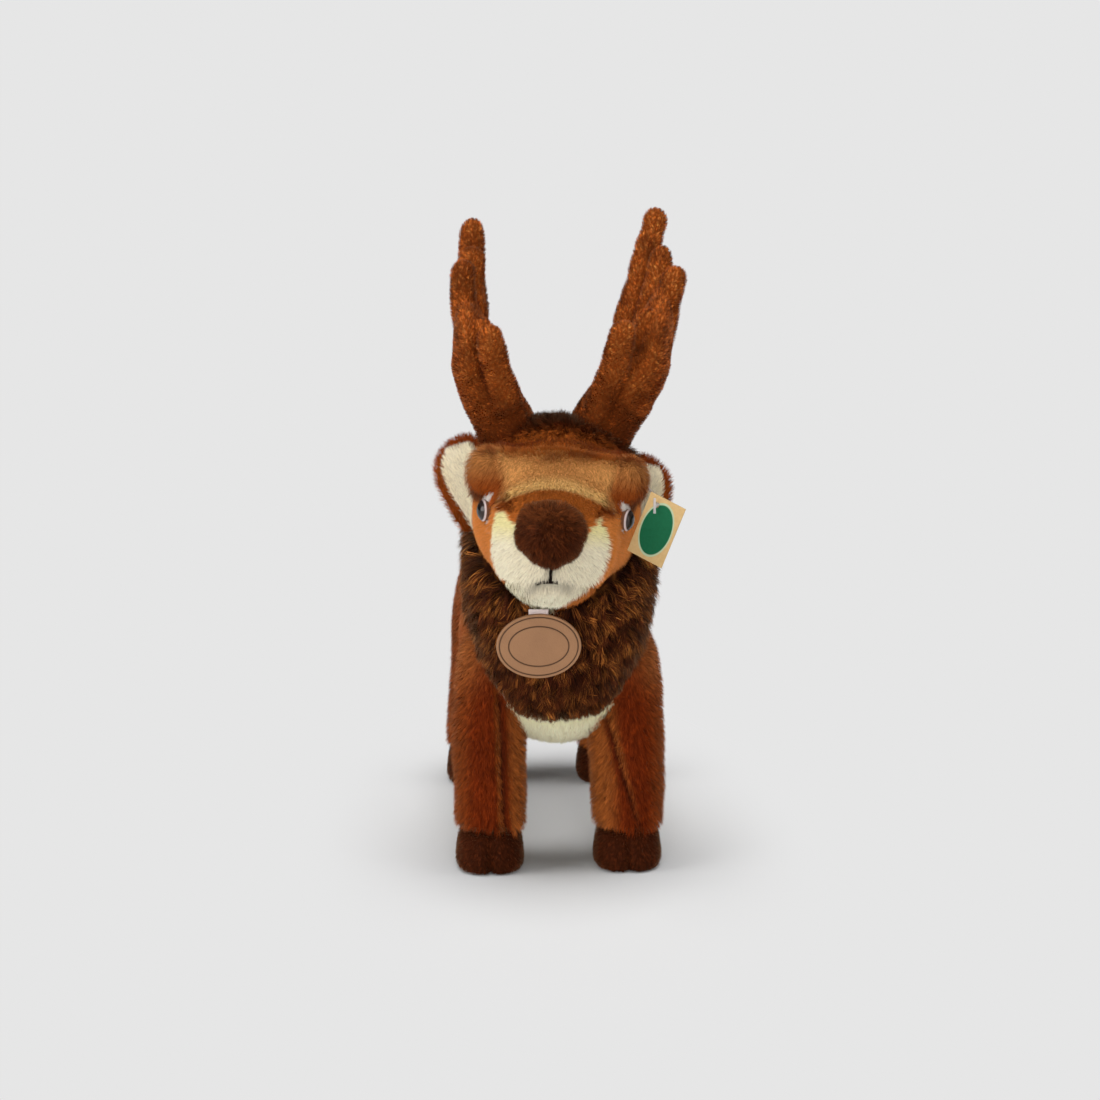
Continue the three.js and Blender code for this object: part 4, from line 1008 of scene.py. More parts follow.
def colours(base, *layers):
    """Roots and tips in a base tone under layers of other tones: a name, a share, and what limits it."""

    def tone(name, count):
        colour = np.repeat(linear(*TONES[name])[None], count, 0)
        return tuple(colour * share for share in CONTRASTS.get(name, USUAL))

    def colour(at, generator):
        pair = tone(base, at.count)
        for name, share, *limits in layers:
            for limit in limits:
                share = share * limit(at, generator)
            pair = tuple(mix(a, b, share) for a, b in zip(pair, tone(name, at.count)))
        return pair

    return colour


def where(measure, low, high, least=0.0):
    """Rises from the least share to 1 while a measure of the place goes from low to high."""

    def limit(at, generator):
        value = measure(at) if callable(measure) else getattr(at, measure)
        return least + (1 - least) * ramp(value, low, high)

    return limit


def patchy(size, seed, low, high, octaves=2, least=0.0):
    return where(lambda at: waves(at.local, size, seed, octaves), low, high, least)


def some(share):
    return lambda at, generator: generator.random(at.count) < share


def speckled(least=0.0):
    return lambda at, generator: least + (1 - least) * generator.random(at.count)


def by(function):
    return lambda at, generator: function(at)


# Where things fade in: a measure of the place, and the two values it runs between
FADES = {
    "belly_back": [["y", -85, -60]],
    "belly_front": [["y", -60, -80]],
    "leg_hem": [["z", 28, 20]],
    "mane_foot": [["z", 78, 100]],
    "mane_low": [["z", 116, 90]],
    "brow_roll": [["aside", 36, 24], ["y", -4, -10], ["y", -56, -48], ["z", 4, 9]],
    "crown_strip": [["z", 8, 15], ["aside", 34, 27]],
    "chin_low": [["z", -30, -37]],
    "brow_hem": [["z", 14, 8]],
    "brow_end": [["x", -28, -38]],
}
# The usual share of a coat's length, and how much more there is at the longest place
LENGTHS = {
    "belly": [0.75, 0.4], "leg": [1, 0.9], "mane": [0.6, 0.4], "mane_beside": [1, -0.5], "head": [1, 0.7],
    "chin": [0.9, 0.3], "fringe": [0.95, 0.5], "brow_end": [1, 0.35], "over_eye": [1, -0.4],
}
PILE_MIDDLE = -2  # x of the middle of the belly, the mane and the chin


def fade(at, name):
    return math.prod(ramp(getattr(at, measure), low, high) for measure, low, high in FADES[name])


def longer(name, share):
    least, more = LENGTHS[name]
    return least + more * share


def heading(at, x=0.0, y=0.0, z=0.0):
    """A direction for every place."""
    return np.stack([np.broadcast_to(np.asarray(part, float), at.count) for part in (x, y, z)], 1)


def steady(x, y, z):
    return lambda at: heading(at, x, y, z)


def coated(name, skin, coat, colour, flow, nodes, keep=None, frame=BODY, length_at=None):
    """Colours a skin like the lower part of its pile, grows the pile, and hides the parts that both stand
    for.
    """
    points, normals = read_mesh(skin)
    root, tip = colour(frame.at(points, normals), np.random.default_rng(3))
    # the skin takes a colour near the roots', as painted shade deep in the pile
    paint(skin, mix(root, tip, np.full(len(points), GROUND_SHARE)))
    skin.data.materials.append(ground_look)
    for piece in (skin, *pile(f"{name}_pile", skin, coat, colour, flow, keep, frame, length_at)):
        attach(piece, "deer")
    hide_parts(*nodes)


OVERLAP = 0.8  # how far pile goes under the skin of another form
RUFF_GAP = 1.5  # how far pile stays off where the head and the mane meet


def outside(*forms, margin=OVERLAP):
    def keep(points):
        return ~np.any([form.holds(points, -margin) for form in forms], axis=0)

    return keep


# Torso, belly, tail and legs

# The sides of the body and legs turn lighter as a painted rim light; the dark patches are the cloth's own.
BODY_LAYERS = [
    ["rust_dark", 0.6, patchy(34, 11, -0.3, 1.1)],
    ["leg_edge", 0.3, where("sideways", 0.3, 0.95)],
    # painted rim light on the fronts of the shoulders
    ["shoulder", 0.5, where("z", 80, 120), where("aside", 26, 46), where("y", -45, -85)],
]
body_colour = colours("rust", *BODY_LAYERS)


def in_belly(points):
    x, y, z = points.T
    return (np.abs(x) < BELLY["half_width"]) & (z < BELLY["top"]) & (y < BELLY["back"])


def belly_flow(at):
    return heading(at, 0, 0.6 * fade(at, "belly_back"), -1)


def belly_length(at):
    """Longer at the front, under the mane."""
    return longer("belly", bell(at.x - PILE_MIDDLE, BELLY["longer_half_width"]) * fade(at, "belly_front"))


over_torso = outside(mane, *legs.values())
torso_skin = object_of("torso_skin", *torso.surface())
swell(torso_skin, TORSO["swell"])
belly_skin = split(torso_skin, "belly_skin", in_belly)
coated("torso", torso_skin, "body", body_colour, steady(0, 1, -0.55),
       ["torso_cover", "torso_filling"], over_torso)
coated("belly", belly_skin, "belly", colours("belly", ["lime", 0.25, where("z", 68, 82)]), belly_flow,
       ["belly_panel"], over_torso, length_at=belly_length)
tail_skin = object_of("tail_skin", *tail.surface())
coated("tail", tail_skin, "tail", body_colour, steady(0, 0, -1), ["tail"], outside(torso))

# A seam runs down the front of each leg: how far from its middle at the foot and at the top
SEAM_LINES = {"front_left": [6, 3], "front_right": [5.6, -22.6], "hind_left": [4, 4], "hind_right": [-4, -4]}
LEG_SEAM = {"depth": 1.4, "width": 1.5, "parted": 0.5, "dark": 0.75, "hem_width": 6}
# The belly's pale pile runs on over the inner tops of the front legs
CHEST = {
    "middle": -3, "half_width": 13, "height": 70, "slope": 1.6, "front": -78, "top": 93,
    "soft": 3, "edge": 0.8,
}
FAR = 99.0  # further away than anything that matters


def over_chest(at):
    aside = np.abs(at.x - CHEST["middle"]) - CHEST["half_width"]
    high = at.z - CHEST["height"] - CHEST["slope"] * aside
    ahead = ramp(at.y, CHEST["front"], CHEST["front"] - CHEST["soft"])
    below = ramp(at.z, CHEST["top"] + CHEST["soft"], CHEST["top"])
    return ramp(high, -CHEST["edge"], CHEST["edge"]) * ahead * below


class LegPile:
    """What the pile of one leg does."""

    def __init__(self, key):
        place, side_name = key.split("_")
        self.table, self.side = FRONT_LEG if place == "front" else HIND_LEG, SIDES[side_name]
        self.seam = SEAM_LINES[key]
        self.colour = colours(
            "rust", *BODY_LAYERS,
            # painted rim light on the side of the leg that faces the other leg
            ["leg_edge", 0.72, where(self.inwards, 0.1, 0.7)],
            ["mane", LEG_SEAM["dark"], by(lambda at: bell(self.off_seam(at), LEG_SEAM["width"]))],
            ["belly", 1, by(over_chest)],
        )

    def inwards(self, at):
        return -self.side * at.facing[:, 0]

    def off_seam(self, at):
        foot, top = self.seam
        share = np.clip((at.z - self.table["bottom"]) / self.table["height"], 0, 1)
        line = self.side * self.table["x"] + foot + (top - foot) * share
        return np.where(at.y < self.table["y"], at.x - line, FAR)

    def flow(self, at):
        away = self.off_seam(at)
        return heading(at, LEG_SEAM["parted"] * bell(away, LEG_SEAM["width"] * 2) * np.sign(away), 0, -1)

    def length(self, at):
        """The seam ends in a longer point over the hoof."""
        return longer("leg", bell(self.off_seam(at), LEG_SEAM["hem_width"]) * fade(at, "leg_hem"))


def hoof_colour(at, generator):
    """One tone in soft patches."""
    depth, size, seed = HOOF["patches"]
    gain = (1 + depth * waves(at.local, size, seed))[:, None]
    return tuple(c * gain for c in colours("hoof")(at, generator))


for number, (key, form) in enumerate(legs.items()):
    leg = LegPile(key)
    leg_skin = object_of(f"leg_skin_{key}", *form.surface())
    swell(leg_skin, LEG_SWELL, number)
    points, normals = read_mesh(leg_skin)
    dip = LEG_SEAM["depth"] * bell(leg.off_seam(BODY.at(points)), LEG_SEAM["width"])
    write_points(leg_skin, points - normals * dip[:, None])
    coated(f"leg_{key}", leg_skin, "body", leg.colour, leg.flow,
           [f"leg_{key}", f"leg_filling_{key}"], outside(torso, mane, hooves[key]), length_at=leg.length)

    def above_sole(points, form=form):
        return (points[:, 2] > HOOF["bare_sole"]) & ~form.holds(points, -OVERLAP)

    hoof_skin = object_of(f"hoof_skin_{key}", *hooves[key].surface())
    coated(f"hoof_{key}", hoof_skin, "hoof", hoof_colour, steady(0, 0, -1), [f"hoof_{key}"],
           above_sole)

# Mane

mane_colour = colours(
    "mane",
    ["mane_gold", 1, patchy(7, 71, -0.2, 0.7, octaves=3), some(0.6), where("z", 95, 130, least=0.55)],
    ["mane_gold", 0.15, where("z", 100, 80), speckled()],
)


def mane_flow(at):
    x, y, z = (waves(at.local, 10, seed) for seed in (73, 74, 75))
    return heading(at, 1.1 * x, 1.1 * y, -1 + 0.6 * z)


def mane_length(at):
    """Shorter at the lower edge and beside it, where the legs' inner tops show."""
    beside = ramp(np.abs(at.x - PILE_MIDDLE), *MANE["beside"]) * fade(at, "mane_low")
    return longer("mane", fade(at, "mane_foot")) * longer("mane_beside", beside)


mane_skin = object_of("mane_skin", *mane.surface())
swell(mane_skin, MANE["swell"])
coated("mane", mane_skin, "mane", mane_colour, mane_flow, ["mane_cover", "neck_filling"],
       outside(skull, brow, margin=-RUFF_GAP), length_at=mane_length)

# Head


def brow_line(at):
    """How far beside the slanting seam between the forehead and a brow."""
    return at.aside - SEAMS["forehead_half_width"] - SEAMS["forehead_slant"] * (at.z - BROW["z"])


head_skin = fused("head_skin", [skull.surface(), brow.surface()], HEAD["fused"])
rolled = relaxed(head_skin, lambda places: fade(SKULL.at(places), "brow_roll"), HEAD["brow_rounds"])
write_points(head_skin, rolled)
swell(head_skin, HEAD["swell"])
points, normals = read_mesh(head_skin)
at = SKULL.at(points)
on_panel = (at.y < SEAMS["crown_y"]) & (at.z > SEAMS["muzzle_top"])
pinch = bell(brow_line(at), SEAMS["pinch_width"]) * on_panel
pinch = np.maximum(pinch, bell(at.y - SEAMS["crown_y"], SEAMS["pinch_width"]) * (at.z > 0))
write_points(head_skin, points - normals * (SEAMS["pinch_depth"] * pinch)[:, None])


def mouth_curve(x):
    reach = np.where(x < 0, MOUTH["left"], MOUTH["right"])
    return MOUTH["fork"] - MOUTH["drop"] * (x / reach) ** 2


def mouth_distance(at, shown=MOUTH["shown"]):
    """How far from a stretch of the thread."""
    left, right = shown
    down = np.hypot(at.x, np.maximum(0, np.maximum(MOUTH["fork"] - at.z, at.z - MOUTH["top"])))
    beyond = np.maximum(0, np.maximum(left - at.x, at.x - right))
    smile = np.hypot(at.z - mouth_curve(at.x), beyond)
    return np.where(at.y < SEAMS["chin_back"], np.minimum(down, smile), FAR)


def thread_tube(x, z, rise, front, around=10, nearby=6):
    """A thread on the skin, along places seen from the front."""
    apart = np.hypot(front[:, 0] - x[:, None], front[:, 2] - z[:, None])
    nearest = np.argsort(apart, axis=1)[:, :nearby]
    path = np.stack([x, front[:, 1][nearest].mean(1) - rise, z], 1)
    along = unit(np.gradient(path, axis=0))
    side = unit(np.cross(along, [0, 1.0, 0]))
    out = np.cross(along, side)
    angle = circle(around)[:, None]
    ring = path[:, None] + MOUTH["thread"] * (side[:, None] * np.cos(angle) + out[:, None] * np.sin(angle))
    points, faces = tube(ring, path[[0, -1]])
    return SKULL.out(points), faces


def mouth_threads(front):
    down, across = MOUTH["steps"]
    z = np.linspace(MOUTH["top"], MOUTH["fork"], down)
    x = np.linspace(-MOUTH["left"], MOUTH["right"], across)
    left, right = MOUTH["shown"]
    sunk = np.maximum(ramp(x, left, left - MOUTH["dive_left"]), ramp(x, right, right + MOUTH["dive_right"]))
    level = np.full(down, MOUTH["rise"])
    return [thread_tube(np.zeros(down), z, level, front),
            thread_tube(x, mouth_curve(x), MOUTH["rise"] - MOUTH["dive"] * sunk, front)]


points, normals = read_mesh(head_skin)
at = SKULL.at(points)
from_mouth = np.hypot(at.x, at.z - MOUTH["fork"])
lips = MOUTH["pad"] * bell(from_mouth, MOUTH["pad_reach"], 4) * (at.y < SEAMS["chin_back"])
padded = SKULL.into(points + normals * lips[:, None])
mouth = fused("mouth_stitch", mouth_threads(padded[padded[:, 1] < MOUTH["front"]]), MOUTH["fused"])
lips -= MOUTH["groove"] * bell(mouth_distance(at), 1)
write_points(head_skin, points + normals * lips[:, None])


def box_of(x=(-FAR, FAR), y=(-FAR, FAR), z=(-FAR, FAR)):
    """Chooses the places inside a box of the head's frame."""

    def chosen(points):
        limits = zip(SKULL.into(points).T, (x, y, z))
        return np.all([(low < values) & (values < high) for values, (low, high) in limits], axis=0)

    return chosen


# The pale part of the face, seen from the front: height, outer and inner half width
PALE_SHAPE = [
    [-38, 0.5, 0], [-36, 5, 0], [-33, 11, 0], [-30, 15, 0], [-25, 21, 0], [-18, 25, 0], [-10, 26.6, 0],
    [-4, 27, 0], [-1.5, 26.8, 12], [1, 26, 18.3], [4, 24.5, 20.5], [6.5, 22.6, 22.2],
]
PALE_TILT = 0.12  # of the upper ends
PALE_NARROWER = {"outer": 2.2, "inner": 3.8}  # on the right in a front view
PALE_MIDDLE = [-0.5, -2.5]  # at the top and at the chin
SIGHT_SLOPE = 0.19  # how much higher the camera sees a point for each millimetre further back
# The golden cloth ends above the nose in an arc: its height in the middle, and how it falls outwards
ARC = {"top": 18.6, "fall": 5.5, "half": 20}


def sight_height(at):
    return at.z + SIGHT_SLOPE * (at.y - NOSE["centre"][1])


def over_arc(at):
    return sight_height(at) - ARC["top"] + ARC["fall"] * (at.x / ARC["half"]) ** 2


def pale_share(at):
    height = sight_height(at)
    top, chin = PALE_MIDDLE
    x = at.x - top - (chin - top) * ramp(height, -15, -27)
    outer, inner = between(PALE_SHAPE, height + PALE_TILT * x * ramp(height, -10, 0)).T
    right = ramp(x, 0, 6)
    outer = outer - PALE_NARROWER["outer"] * right
    inner = inner - PALE_NARROWER["inner"] * right * ramp(height, -4, 0)
    ragged = waves(at.local, 3, 79) * 0.6
    inside = np.minimum(outer - np.abs(x), np.abs(x) - inner + 0.5) + ragged
    return ramp(inside, -0.6, 0.6) * ramp(height, 8, 6)


def over_top(at):
    """The strip of the head in front of the crown, which has the crown's pile."""
    ahead = ramp(at.y, SEAMS["crown_y"] + 1, SEAMS["crown_y"] + 3)
    return ahead * fade(at, "crown_strip")


head_colour = colours(
    "cheek",
    ["rust", 0.6, where("z", -10, -36)],
    ["rust", 0.85, where("y", -16, 2)],
    ["crown_front", 1, by(over_top)],
)
forehead_colour = colours(
    "gold",
    ["pale_gold", 1, where(over_arc, 8, 2), speckled(0.6)],
    # the bridge above the nose: rust cloth darkened with painted shadow under the fringe
    ["bridge", 1, where(over_arc, 0.8, -0.8)],
    ["brow", 0.5, patchy(14, 61, -0.2, 1), where("y", -34, -22)],
    ["brow", 0.75, where(brow_line, -4, 1)],
)
brow_colour = colours("brow", ["gold", 0.8, where(brow_line, 2, -4)], ["gold", 0.5, where("z", 14, 27)])
beyond_pale = by(lambda at: 1 - pale_share(at))


def muzzle_colour(name):
    laid = colours(
        name,
        ["lime", 0.8, where(sight_height, -9, 3)],
        ["cheek", 1, beyond_pale],
        # the bridge beside the nose's top: rust cloth darkened with painted shadow under the fringe
        ["bridge", 1, where(sight_height, -2, 2), where("aside", 22, 18), beyond_pale],
    )

    def colour(at, generator):
        # painted shadow along the crease of the mouth
        near = bell(mouth_distance(at, MOUTH["shadow_span"]), MOUTH["shadow_width"])
        shade = 1 - MOUTH["shadow_share"] * near
        return tuple(c * shade[:, None] for c in laid(at, generator))

    return colour


def eye_frame(side):
    sign = SIDES[side]
    _, half, middle, high = (v[0] for v in skull.section(np.array([float(EYE["y"])])))
    rise = abs((EYE["z"] - middle) / high) ** HEAD["square"]
    x = half * (1 - rise) ** (1 / HEAD["square"])
    facing = math.radians(EYE["facing"])
    out = np.array([sign * math.cos(facing), -math.sin(facing), 0])
    across = unit(np.cross([0, 0, 1.0], out))
    axes = np.stack([across, np.cross(out, across), out], 1)
    return Frame([sign * x, EYE["y"], EYE["z"]], axes).within(SKULL)


eye_frames = {side: eye_frame(side) for side in SIDES}


def around_eyes(at, along, reach, strength):
    """Turns pile away from the eyes."""
    for here in eye_frames.values():
        x, y, z = here.into(at.points).T
        away = np.maximum(np.hypot(x, y), 1e-6)
        share = strength * ramp(away, reach, EYE["radius"] * 0.8) * (np.abs(z) < reach)
        outward = np.stack([x / away, y / away], 1) @ here.axes[:, :2].T
        along = along + (outward @ SKULL.axes) * share[:, None]
    return along


def head_flow(at):
    along = around_eyes(at, heading(at, 0.2 * np.sign(at.x), 1, -0.7), 10, 0.8)
    return mix(along, np.array([0, -1, 0.1]), over_top(at))


def forehead_flow(at):
    return heading(at, at.x * 0.015, -1, -0.6)


def brow_flow(at):
    return heading(at, 0.25 * np.sign(at.x) - 0.35, -0.4, -1)


def muzzle_flow(at):
    return heading(at, at.x * 0.06, 0.4, (at.z - 2) * 0.06 - 0.5)


def chin_flow(at):
    return heading(at, -at.x * 0.05, -0.2, -1)


def head_length(at):
    return longer("head", over_top(at))


def over_medallion(points):
    """How far a place lies above the medallion at the end of its swing."""
    angle = math.radians(MEDALLION["swing"])
    x, y, z = (points - MEDALLION["seam"]).T
    high = z * math.sin(angle) - y * math.cos(angle) - MEDALLION["thickness"] / 2
    along = -z * math.cos(angle) - y * math.sin(angle)
    room = MEDALLION["room"]
    return np.where((np.abs(x) > MEDALLION["half_width"] + room) | (along < -room), math.inf, high)


def chin_length(at):
    """Longer at the lowest place, and short enough to let the medallion swing under the chin."""
    lowest = fade(at, "chin_low") * ramp(np.abs(at.x - PILE_MIDDLE), 10, 3)
    room = over_medallion(at.points) / COATS["chin"]["length"]
    room = np.maximum(room * MEDALLION["room_share"], MEDALLION["least_pile"])
    return np.minimum(longer("chin", lowest), room)


def fringe(at):
    """Pile is longer where the forehead and the brows end."""
    line = brow_line(at)
    ends = bell(over_arc(at) - 2, 2) * ramp(line, 2, -2)
    return longer("fringe", np.maximum(ends, fade(at, "brow_hem") * ramp(line, -2, 2)))


def brow_length(at):
    """Shorter just above an eye, and longer outwards on the left."""
    above = np.zeros(at.count)
    for here in eye_frames.values():
        x, y, z = here.into(at.points).T
        over = ramp(np.abs(x), 7, 3) * ramp(y, 0, 2) * ramp(y, 15, 11) * (np.abs(z) < FELT["half_height"])
        above = np.maximum(above, over)
    return fringe(at) * longer("over_eye", above) * longer("brow_end", fade(at, "brow_end"))


def off_eyes(points):
    """Pile is kept off the eyes, and off the felt above them."""
    kept = np.ones(len(points), bool)
    for side, here in eye_frames.items():
        x, y, z = here.into(points).T
        glass = np.hypot(x, y) < EYE["radius"] + EYE["pile_gap"]
        near = np.abs(x - SIDES[side] * FELT["shown_aside"]) < FELT["shown_half_width"]
        above = near & (y > 0) & (y < EYE["radius"] + FELT["shown_height"])
        kept &= ~((glass | above) & (np.abs(z) < FELT["half_height"]))
    return kept


def off_antlers(points):
    radius, low = ANTLER["bare_foot"]
    kept = np.ones(len(points), bool)
    for side in SIDES:
        x, y, z = antler_frame(side).into(points).T
        kept &= (np.hypot(x, y) > radius) | (z < low)
    return kept


def in_ball(points, table):
    halves = np.array(table["halves"]) - table["sink"] - OVERLAP
    return (((SKULL.into(points) - np.array(table["centre"])) / halves) ** 2).sum(1) < 1


def off_face(points):
    bare = off_eyes(points) & (mouth_distance(SKULL.at(points)) > MOUTH["clear"])
    return bare & ~in_ball(points, NOSE) & ~in_ball(points, CROWN) & ~mane.holds(points, -RUFF_GAP)


HALF, CROWN_Y = SEAMS["forehead_half_width"], SEAMS["crown_y"]
BROW_YZ = {"y": (SEAMS["muzzle_y"], CROWN_Y), "z": (SEAMS["brow_bottom"], FAR)}
HEAD_PANELS = [
    ["forehead", box_of(x=(-HALF, HALF), y=(-FAR, CROWN_Y), z=(SEAMS["muzzle_top"], FAR)),
     "forehead", forehead_colour, forehead_flow, "tan", fringe],
    ["brow_left", box_of(x=(-FAR, -HALF), **BROW_YZ), "brow", brow_colour, brow_flow, "plush", brow_length],
    ["brow_right", box_of(x=(HALF, FAR), **BROW_YZ), "brow", brow_colour, brow_flow, "plush", brow_length],
    ["muzzle", box_of(y=(-FAR, SEAMS["muzzle_y"]), z=(SEAMS["smile"], SEAMS["muzzle_top"])),
     "muzzle", muzzle_colour("cream"), muzzle_flow, "cream", None],
    ["chin", box_of(x=(-SEAMS["chin_half_width"], SEAMS["chin_half_width"]), y=(-FAR, SEAMS["chin_back"]),
                    z=(-FAR, SEAMS["smile"])),
     "chin", muzzle_colour("chin"), chin_flow, "cream", chin_length],
]
for name, chosen, coat, colour, flow, slot, length_at in HEAD_PANELS:
    panel = split(head_skin, f"{name}_skin", chosen)
    coated(name, panel, coat, colour, flow, [name], off_face, SKULL, length_at)
coated("head", head_skin, "cheek", head_colour, head_flow, ["head_cover", "head_filling"],
       off_face, SKULL, head_length)

crown_skin = object_of("crown_skin", *ball(CROWN))
split(crown_skin, "crown_front", box_of(y=(-FAR, CROWN_Y)))
bpy.data.objects.remove(bpy.data.objects["crown_front"])
crown_colour = colours("crown", ["crown_front", 1, where("y", 6, -12), patchy(12, 81, -0.6, 0.8, least=0.55)])


def crown_flow(at):
    wander = waves(at.local, 16, 77)
    return heading(at, at.x * 0.02 + 0.25 * wander, -1, 0.1 * wander)


coated("crown", crown_skin, "crown", crown_colour, crown_flow, ["crown"],
       lambda points: ~skull.holds(points, -OVERLAP) & off_antlers(points), SKULL)

nose_skin = object_of("nose_skin", *ball(NOSE))
swell(nose_skin, NOSE["swell"])
points, _ = read_mesh(nose_skin)
local = SKULL.into(points) - NOSE["centre"]
local[:, 0] *= NOSE["middle_share"] + NOSE["wider_share"] * local[:, 2] / NOSE["halves"][2]
write_points(nose_skin, SKULL.out(local + NOSE["centre"]))
nose_patches, nose_some = patchy(4, 87, -0.3, 1, octaves=3), some(0.6)


# Lighter strand tips in patches, and a painted highlight on the top of the nose.
def nose_tips_and_highlight_share(at, generator):
    high = ramp(at.z - NOSE["centre"][2], 2, 13)
    return 0.4 * nose_patches(at, generator) * nose_some(at, generator) + 0.5 * high


def nose_flow(at):
    aside, up = at.x - NOSE["centre"][0], at.z - NOSE["centre"][2]
    wander = waves(at.local, 9, 83)
    return heading(at, 0.05 * aside + 0.4 * wander, 0.3, 0.05 * up - 0.6)


coated("nose", nose_skin, "nose", colours("nose", ["nose_tip", 1, nose_tips_and_highlight_share]), nose_flow, ["nose"],
       outside(skull), SKULL)

# Eyes

# The rim is a painted highlight round the dome's edge.
EYE_TONES = {
    "pupil": linear(6, 5, 5), "iris": linear(44, 32, 28), "rim": linear(206, 186, 182),
    # painted shadow on the skirt where the dome sinks into the pile
    "wall_shadow": linear(128, 92, 70),
}


def lathe(name, profile, here, around=64):
    """A turned piece about its frame's third axis. The profile is radius and height, from the top."""
    profile = np.array(profile, float)
    body = profile[1:-1]
    ring = np.stack([np.cos(circle(around)), np.sin(circle(around))], 1)
    rise = np.repeat(body[:, None, 1:], around, 1)
    rings = np.concatenate([body[:, None, :1] * ring[None], rise], 2)
    points, faces = tube(rings, [[0, 0, profile[0][1]], [0, 0, profile[-1][1]]], turned=True)
    return object_of(name, here.out(points), faces)


def eye_dome(side):
    radius, seat, bulge = EYE["radius"], EYE["seat"], EYE["bulge"]
    sphere = (radius**2 + bulge**2) / (2 * bulge)
    base = seat + bulge - sphere
    profile = [[r, base + math.sqrt(sphere**2 - r**2)] for r in np.linspace(0, radius, 48)]
    stem, under, end = EYE["stem_radius"], -EYE["stem_from"], -EYE["stem_to"]
    wide, narrow = EYE["skirt_shares"]
    profile += [[radius * wide, seat - EYE["skirt"]], [radius * narrow, under]]
    profile += [[stem, under], [stem, end], [0, end]]
    eye = lathe(f"eye_dome_{side}", profile, eye_frames[side])
    x, y, z = eye_frames[side].into(read_mesh(eye)[0]).T
    away = np.hypot(x, y)
    tint = EYE_TONES["pupil"][None]
    for name, share in (
        ("iris", ramp(away, EYE["pupil"] - 0.3, EYE["pupil"] + 0.3)),
        # a painted highlight at the rim
        ("rim", ramp(away, EYE["iris"] - 0.15, EYE["iris"] + 0.2)),
        # painted shadow on the wall below the seat
        ("wall_shadow", ramp(z, seat - 0.1, seat - EYE["skirt"])),
    ):
        tint = mix(tint, EYE_TONES[name][None], share)
    paint(eye, tint)
    stand_for(eye, eye_look, "glass", f"eye_{side}", f"eye_washer_{side}")


def eye_felt(side):
    """A felt oval that follows the skull behind the eye."""
    here = eye_frames[side]
    around, across = FELT["grid"]
    angle, rings = circle(around), np.linspace(0.05, 1, across)
    flat = np.stack([np.outer(rings, np.cos(angle)) * FELT["half_width"],
                     np.outer(rings, np.sin(angle)) * FELT["half_height"]], -1).reshape(-1, 2)
    deepest = float(FELT["half_height"])
    heights = np.full(len(flat), -deepest)
    for step in np.linspace(-deepest, deepest, FELT["steps"]):
        inside = skull.holds(here.out(np.column_stack([flat, np.full(len(flat), step)])))
        heights = np.where(inside, step, heights)
    edge = np.repeat(rings, around)
    aside = np.abs(flat[:, 0] - SIDES[side] * FELT["shown_aside"])
    top = EYE["radius"] + FELT["shown_height"]
    shown = ramp(flat[:, 1], 0, FELT["rise"]) * ramp(aside, EYE["radius"], FELT["shown_half_width"])
    shown = shown * ramp(flat[:, 1], top + FELT["fall"], top)
    lift = FELT["least"] + (HEAD["sink"] - FELT["least"] + FELT["thickness"] * np.sqrt(1 - edge**6)) * shown
    faces = inside_out(tube_faces(across, around, caps=False))
    faces.append(tuple(range(around)))
    patch = object_of(f"eye_felt_{side}", here.out(np.column_stack([flat, heights + lift])), faces)
    stand_for(patch, felt_look, "felt", f"eye_patch_{side}")


for side in SIDES:
    eye_dome(side)
    eye_felt(side)

# Ears

ear_colour = colours(
    "brow",
    ["rust", 0.7, where("z", 0.6 * EAR["length"], 0.95 * EAR["length"])],
    ["rust_dark", 0.6, where("behind", 0, 0.8)],
)
lining_colour = colours("cream", ["lining", 1, where("aside", 5, 10, least=0.2)])


def leaf(inset, front, back):
    """An open leaf between two depths, in the ear's frame."""
    steps = EAR["steps"]
    up = (1 - inset / EAR["length"]) * np.sin(np.linspace(0, math.pi / 2, steps))
    outline = EAR["half_width"] * between(EAR["shares"], up)[:, 0]
    half = np.maximum(outline - inset, outline / 3)
    cup = EAR["cup"] * np.sin(math.pi * np.minimum(1, (up + EAR["cup_from"]) / (1 + EAR["cup_from"])))
    share = np.linspace(-1, 1, steps // 2)
    x = half[:, None] * share
    bend = cup[:, None] * (x / outline[:, None]) ** 2
    z = np.repeat(up[:, None] * EAR["length"], len(share), 1)
    near = np.stack([x, front - bend, z], -1)
    far = np.stack([x, back - bend, z], -1)[:, ::-1]
    rings = np.concatenate([near, far], 1)
    return tube(rings, [rings[0].mean(0), rings[-1].mean(0)])


def ear_flow(at):
    return heading(at, at.x * 0.05, 0, 1)


GAP = EAR["lining_gap"]
EAR_PIECES = [
    ["ear", [0, 0, EAR["thickness"]], ear_colour, "plush"],
    ["ear_lining", [EAR["rim"], -EAR["thickness"] - GAP, -GAP], lining_colour, "cream"],
]
for side in SIDES:
    here = ear_frame(side)
    for name, sizes, colour, slot in EAR_PIECES:
        shape, faces = leaf(*sizes)
        skin = fused(f"{name}_skin_{side}", [(here.out(shape), faces)], EAR["fused"])
        coated(f"{name}_{side}", skin, name.split("_")[-1], colour, ear_flow, [f"{name}_{side}"],
               outside(skull, mane), here)

# Antlers


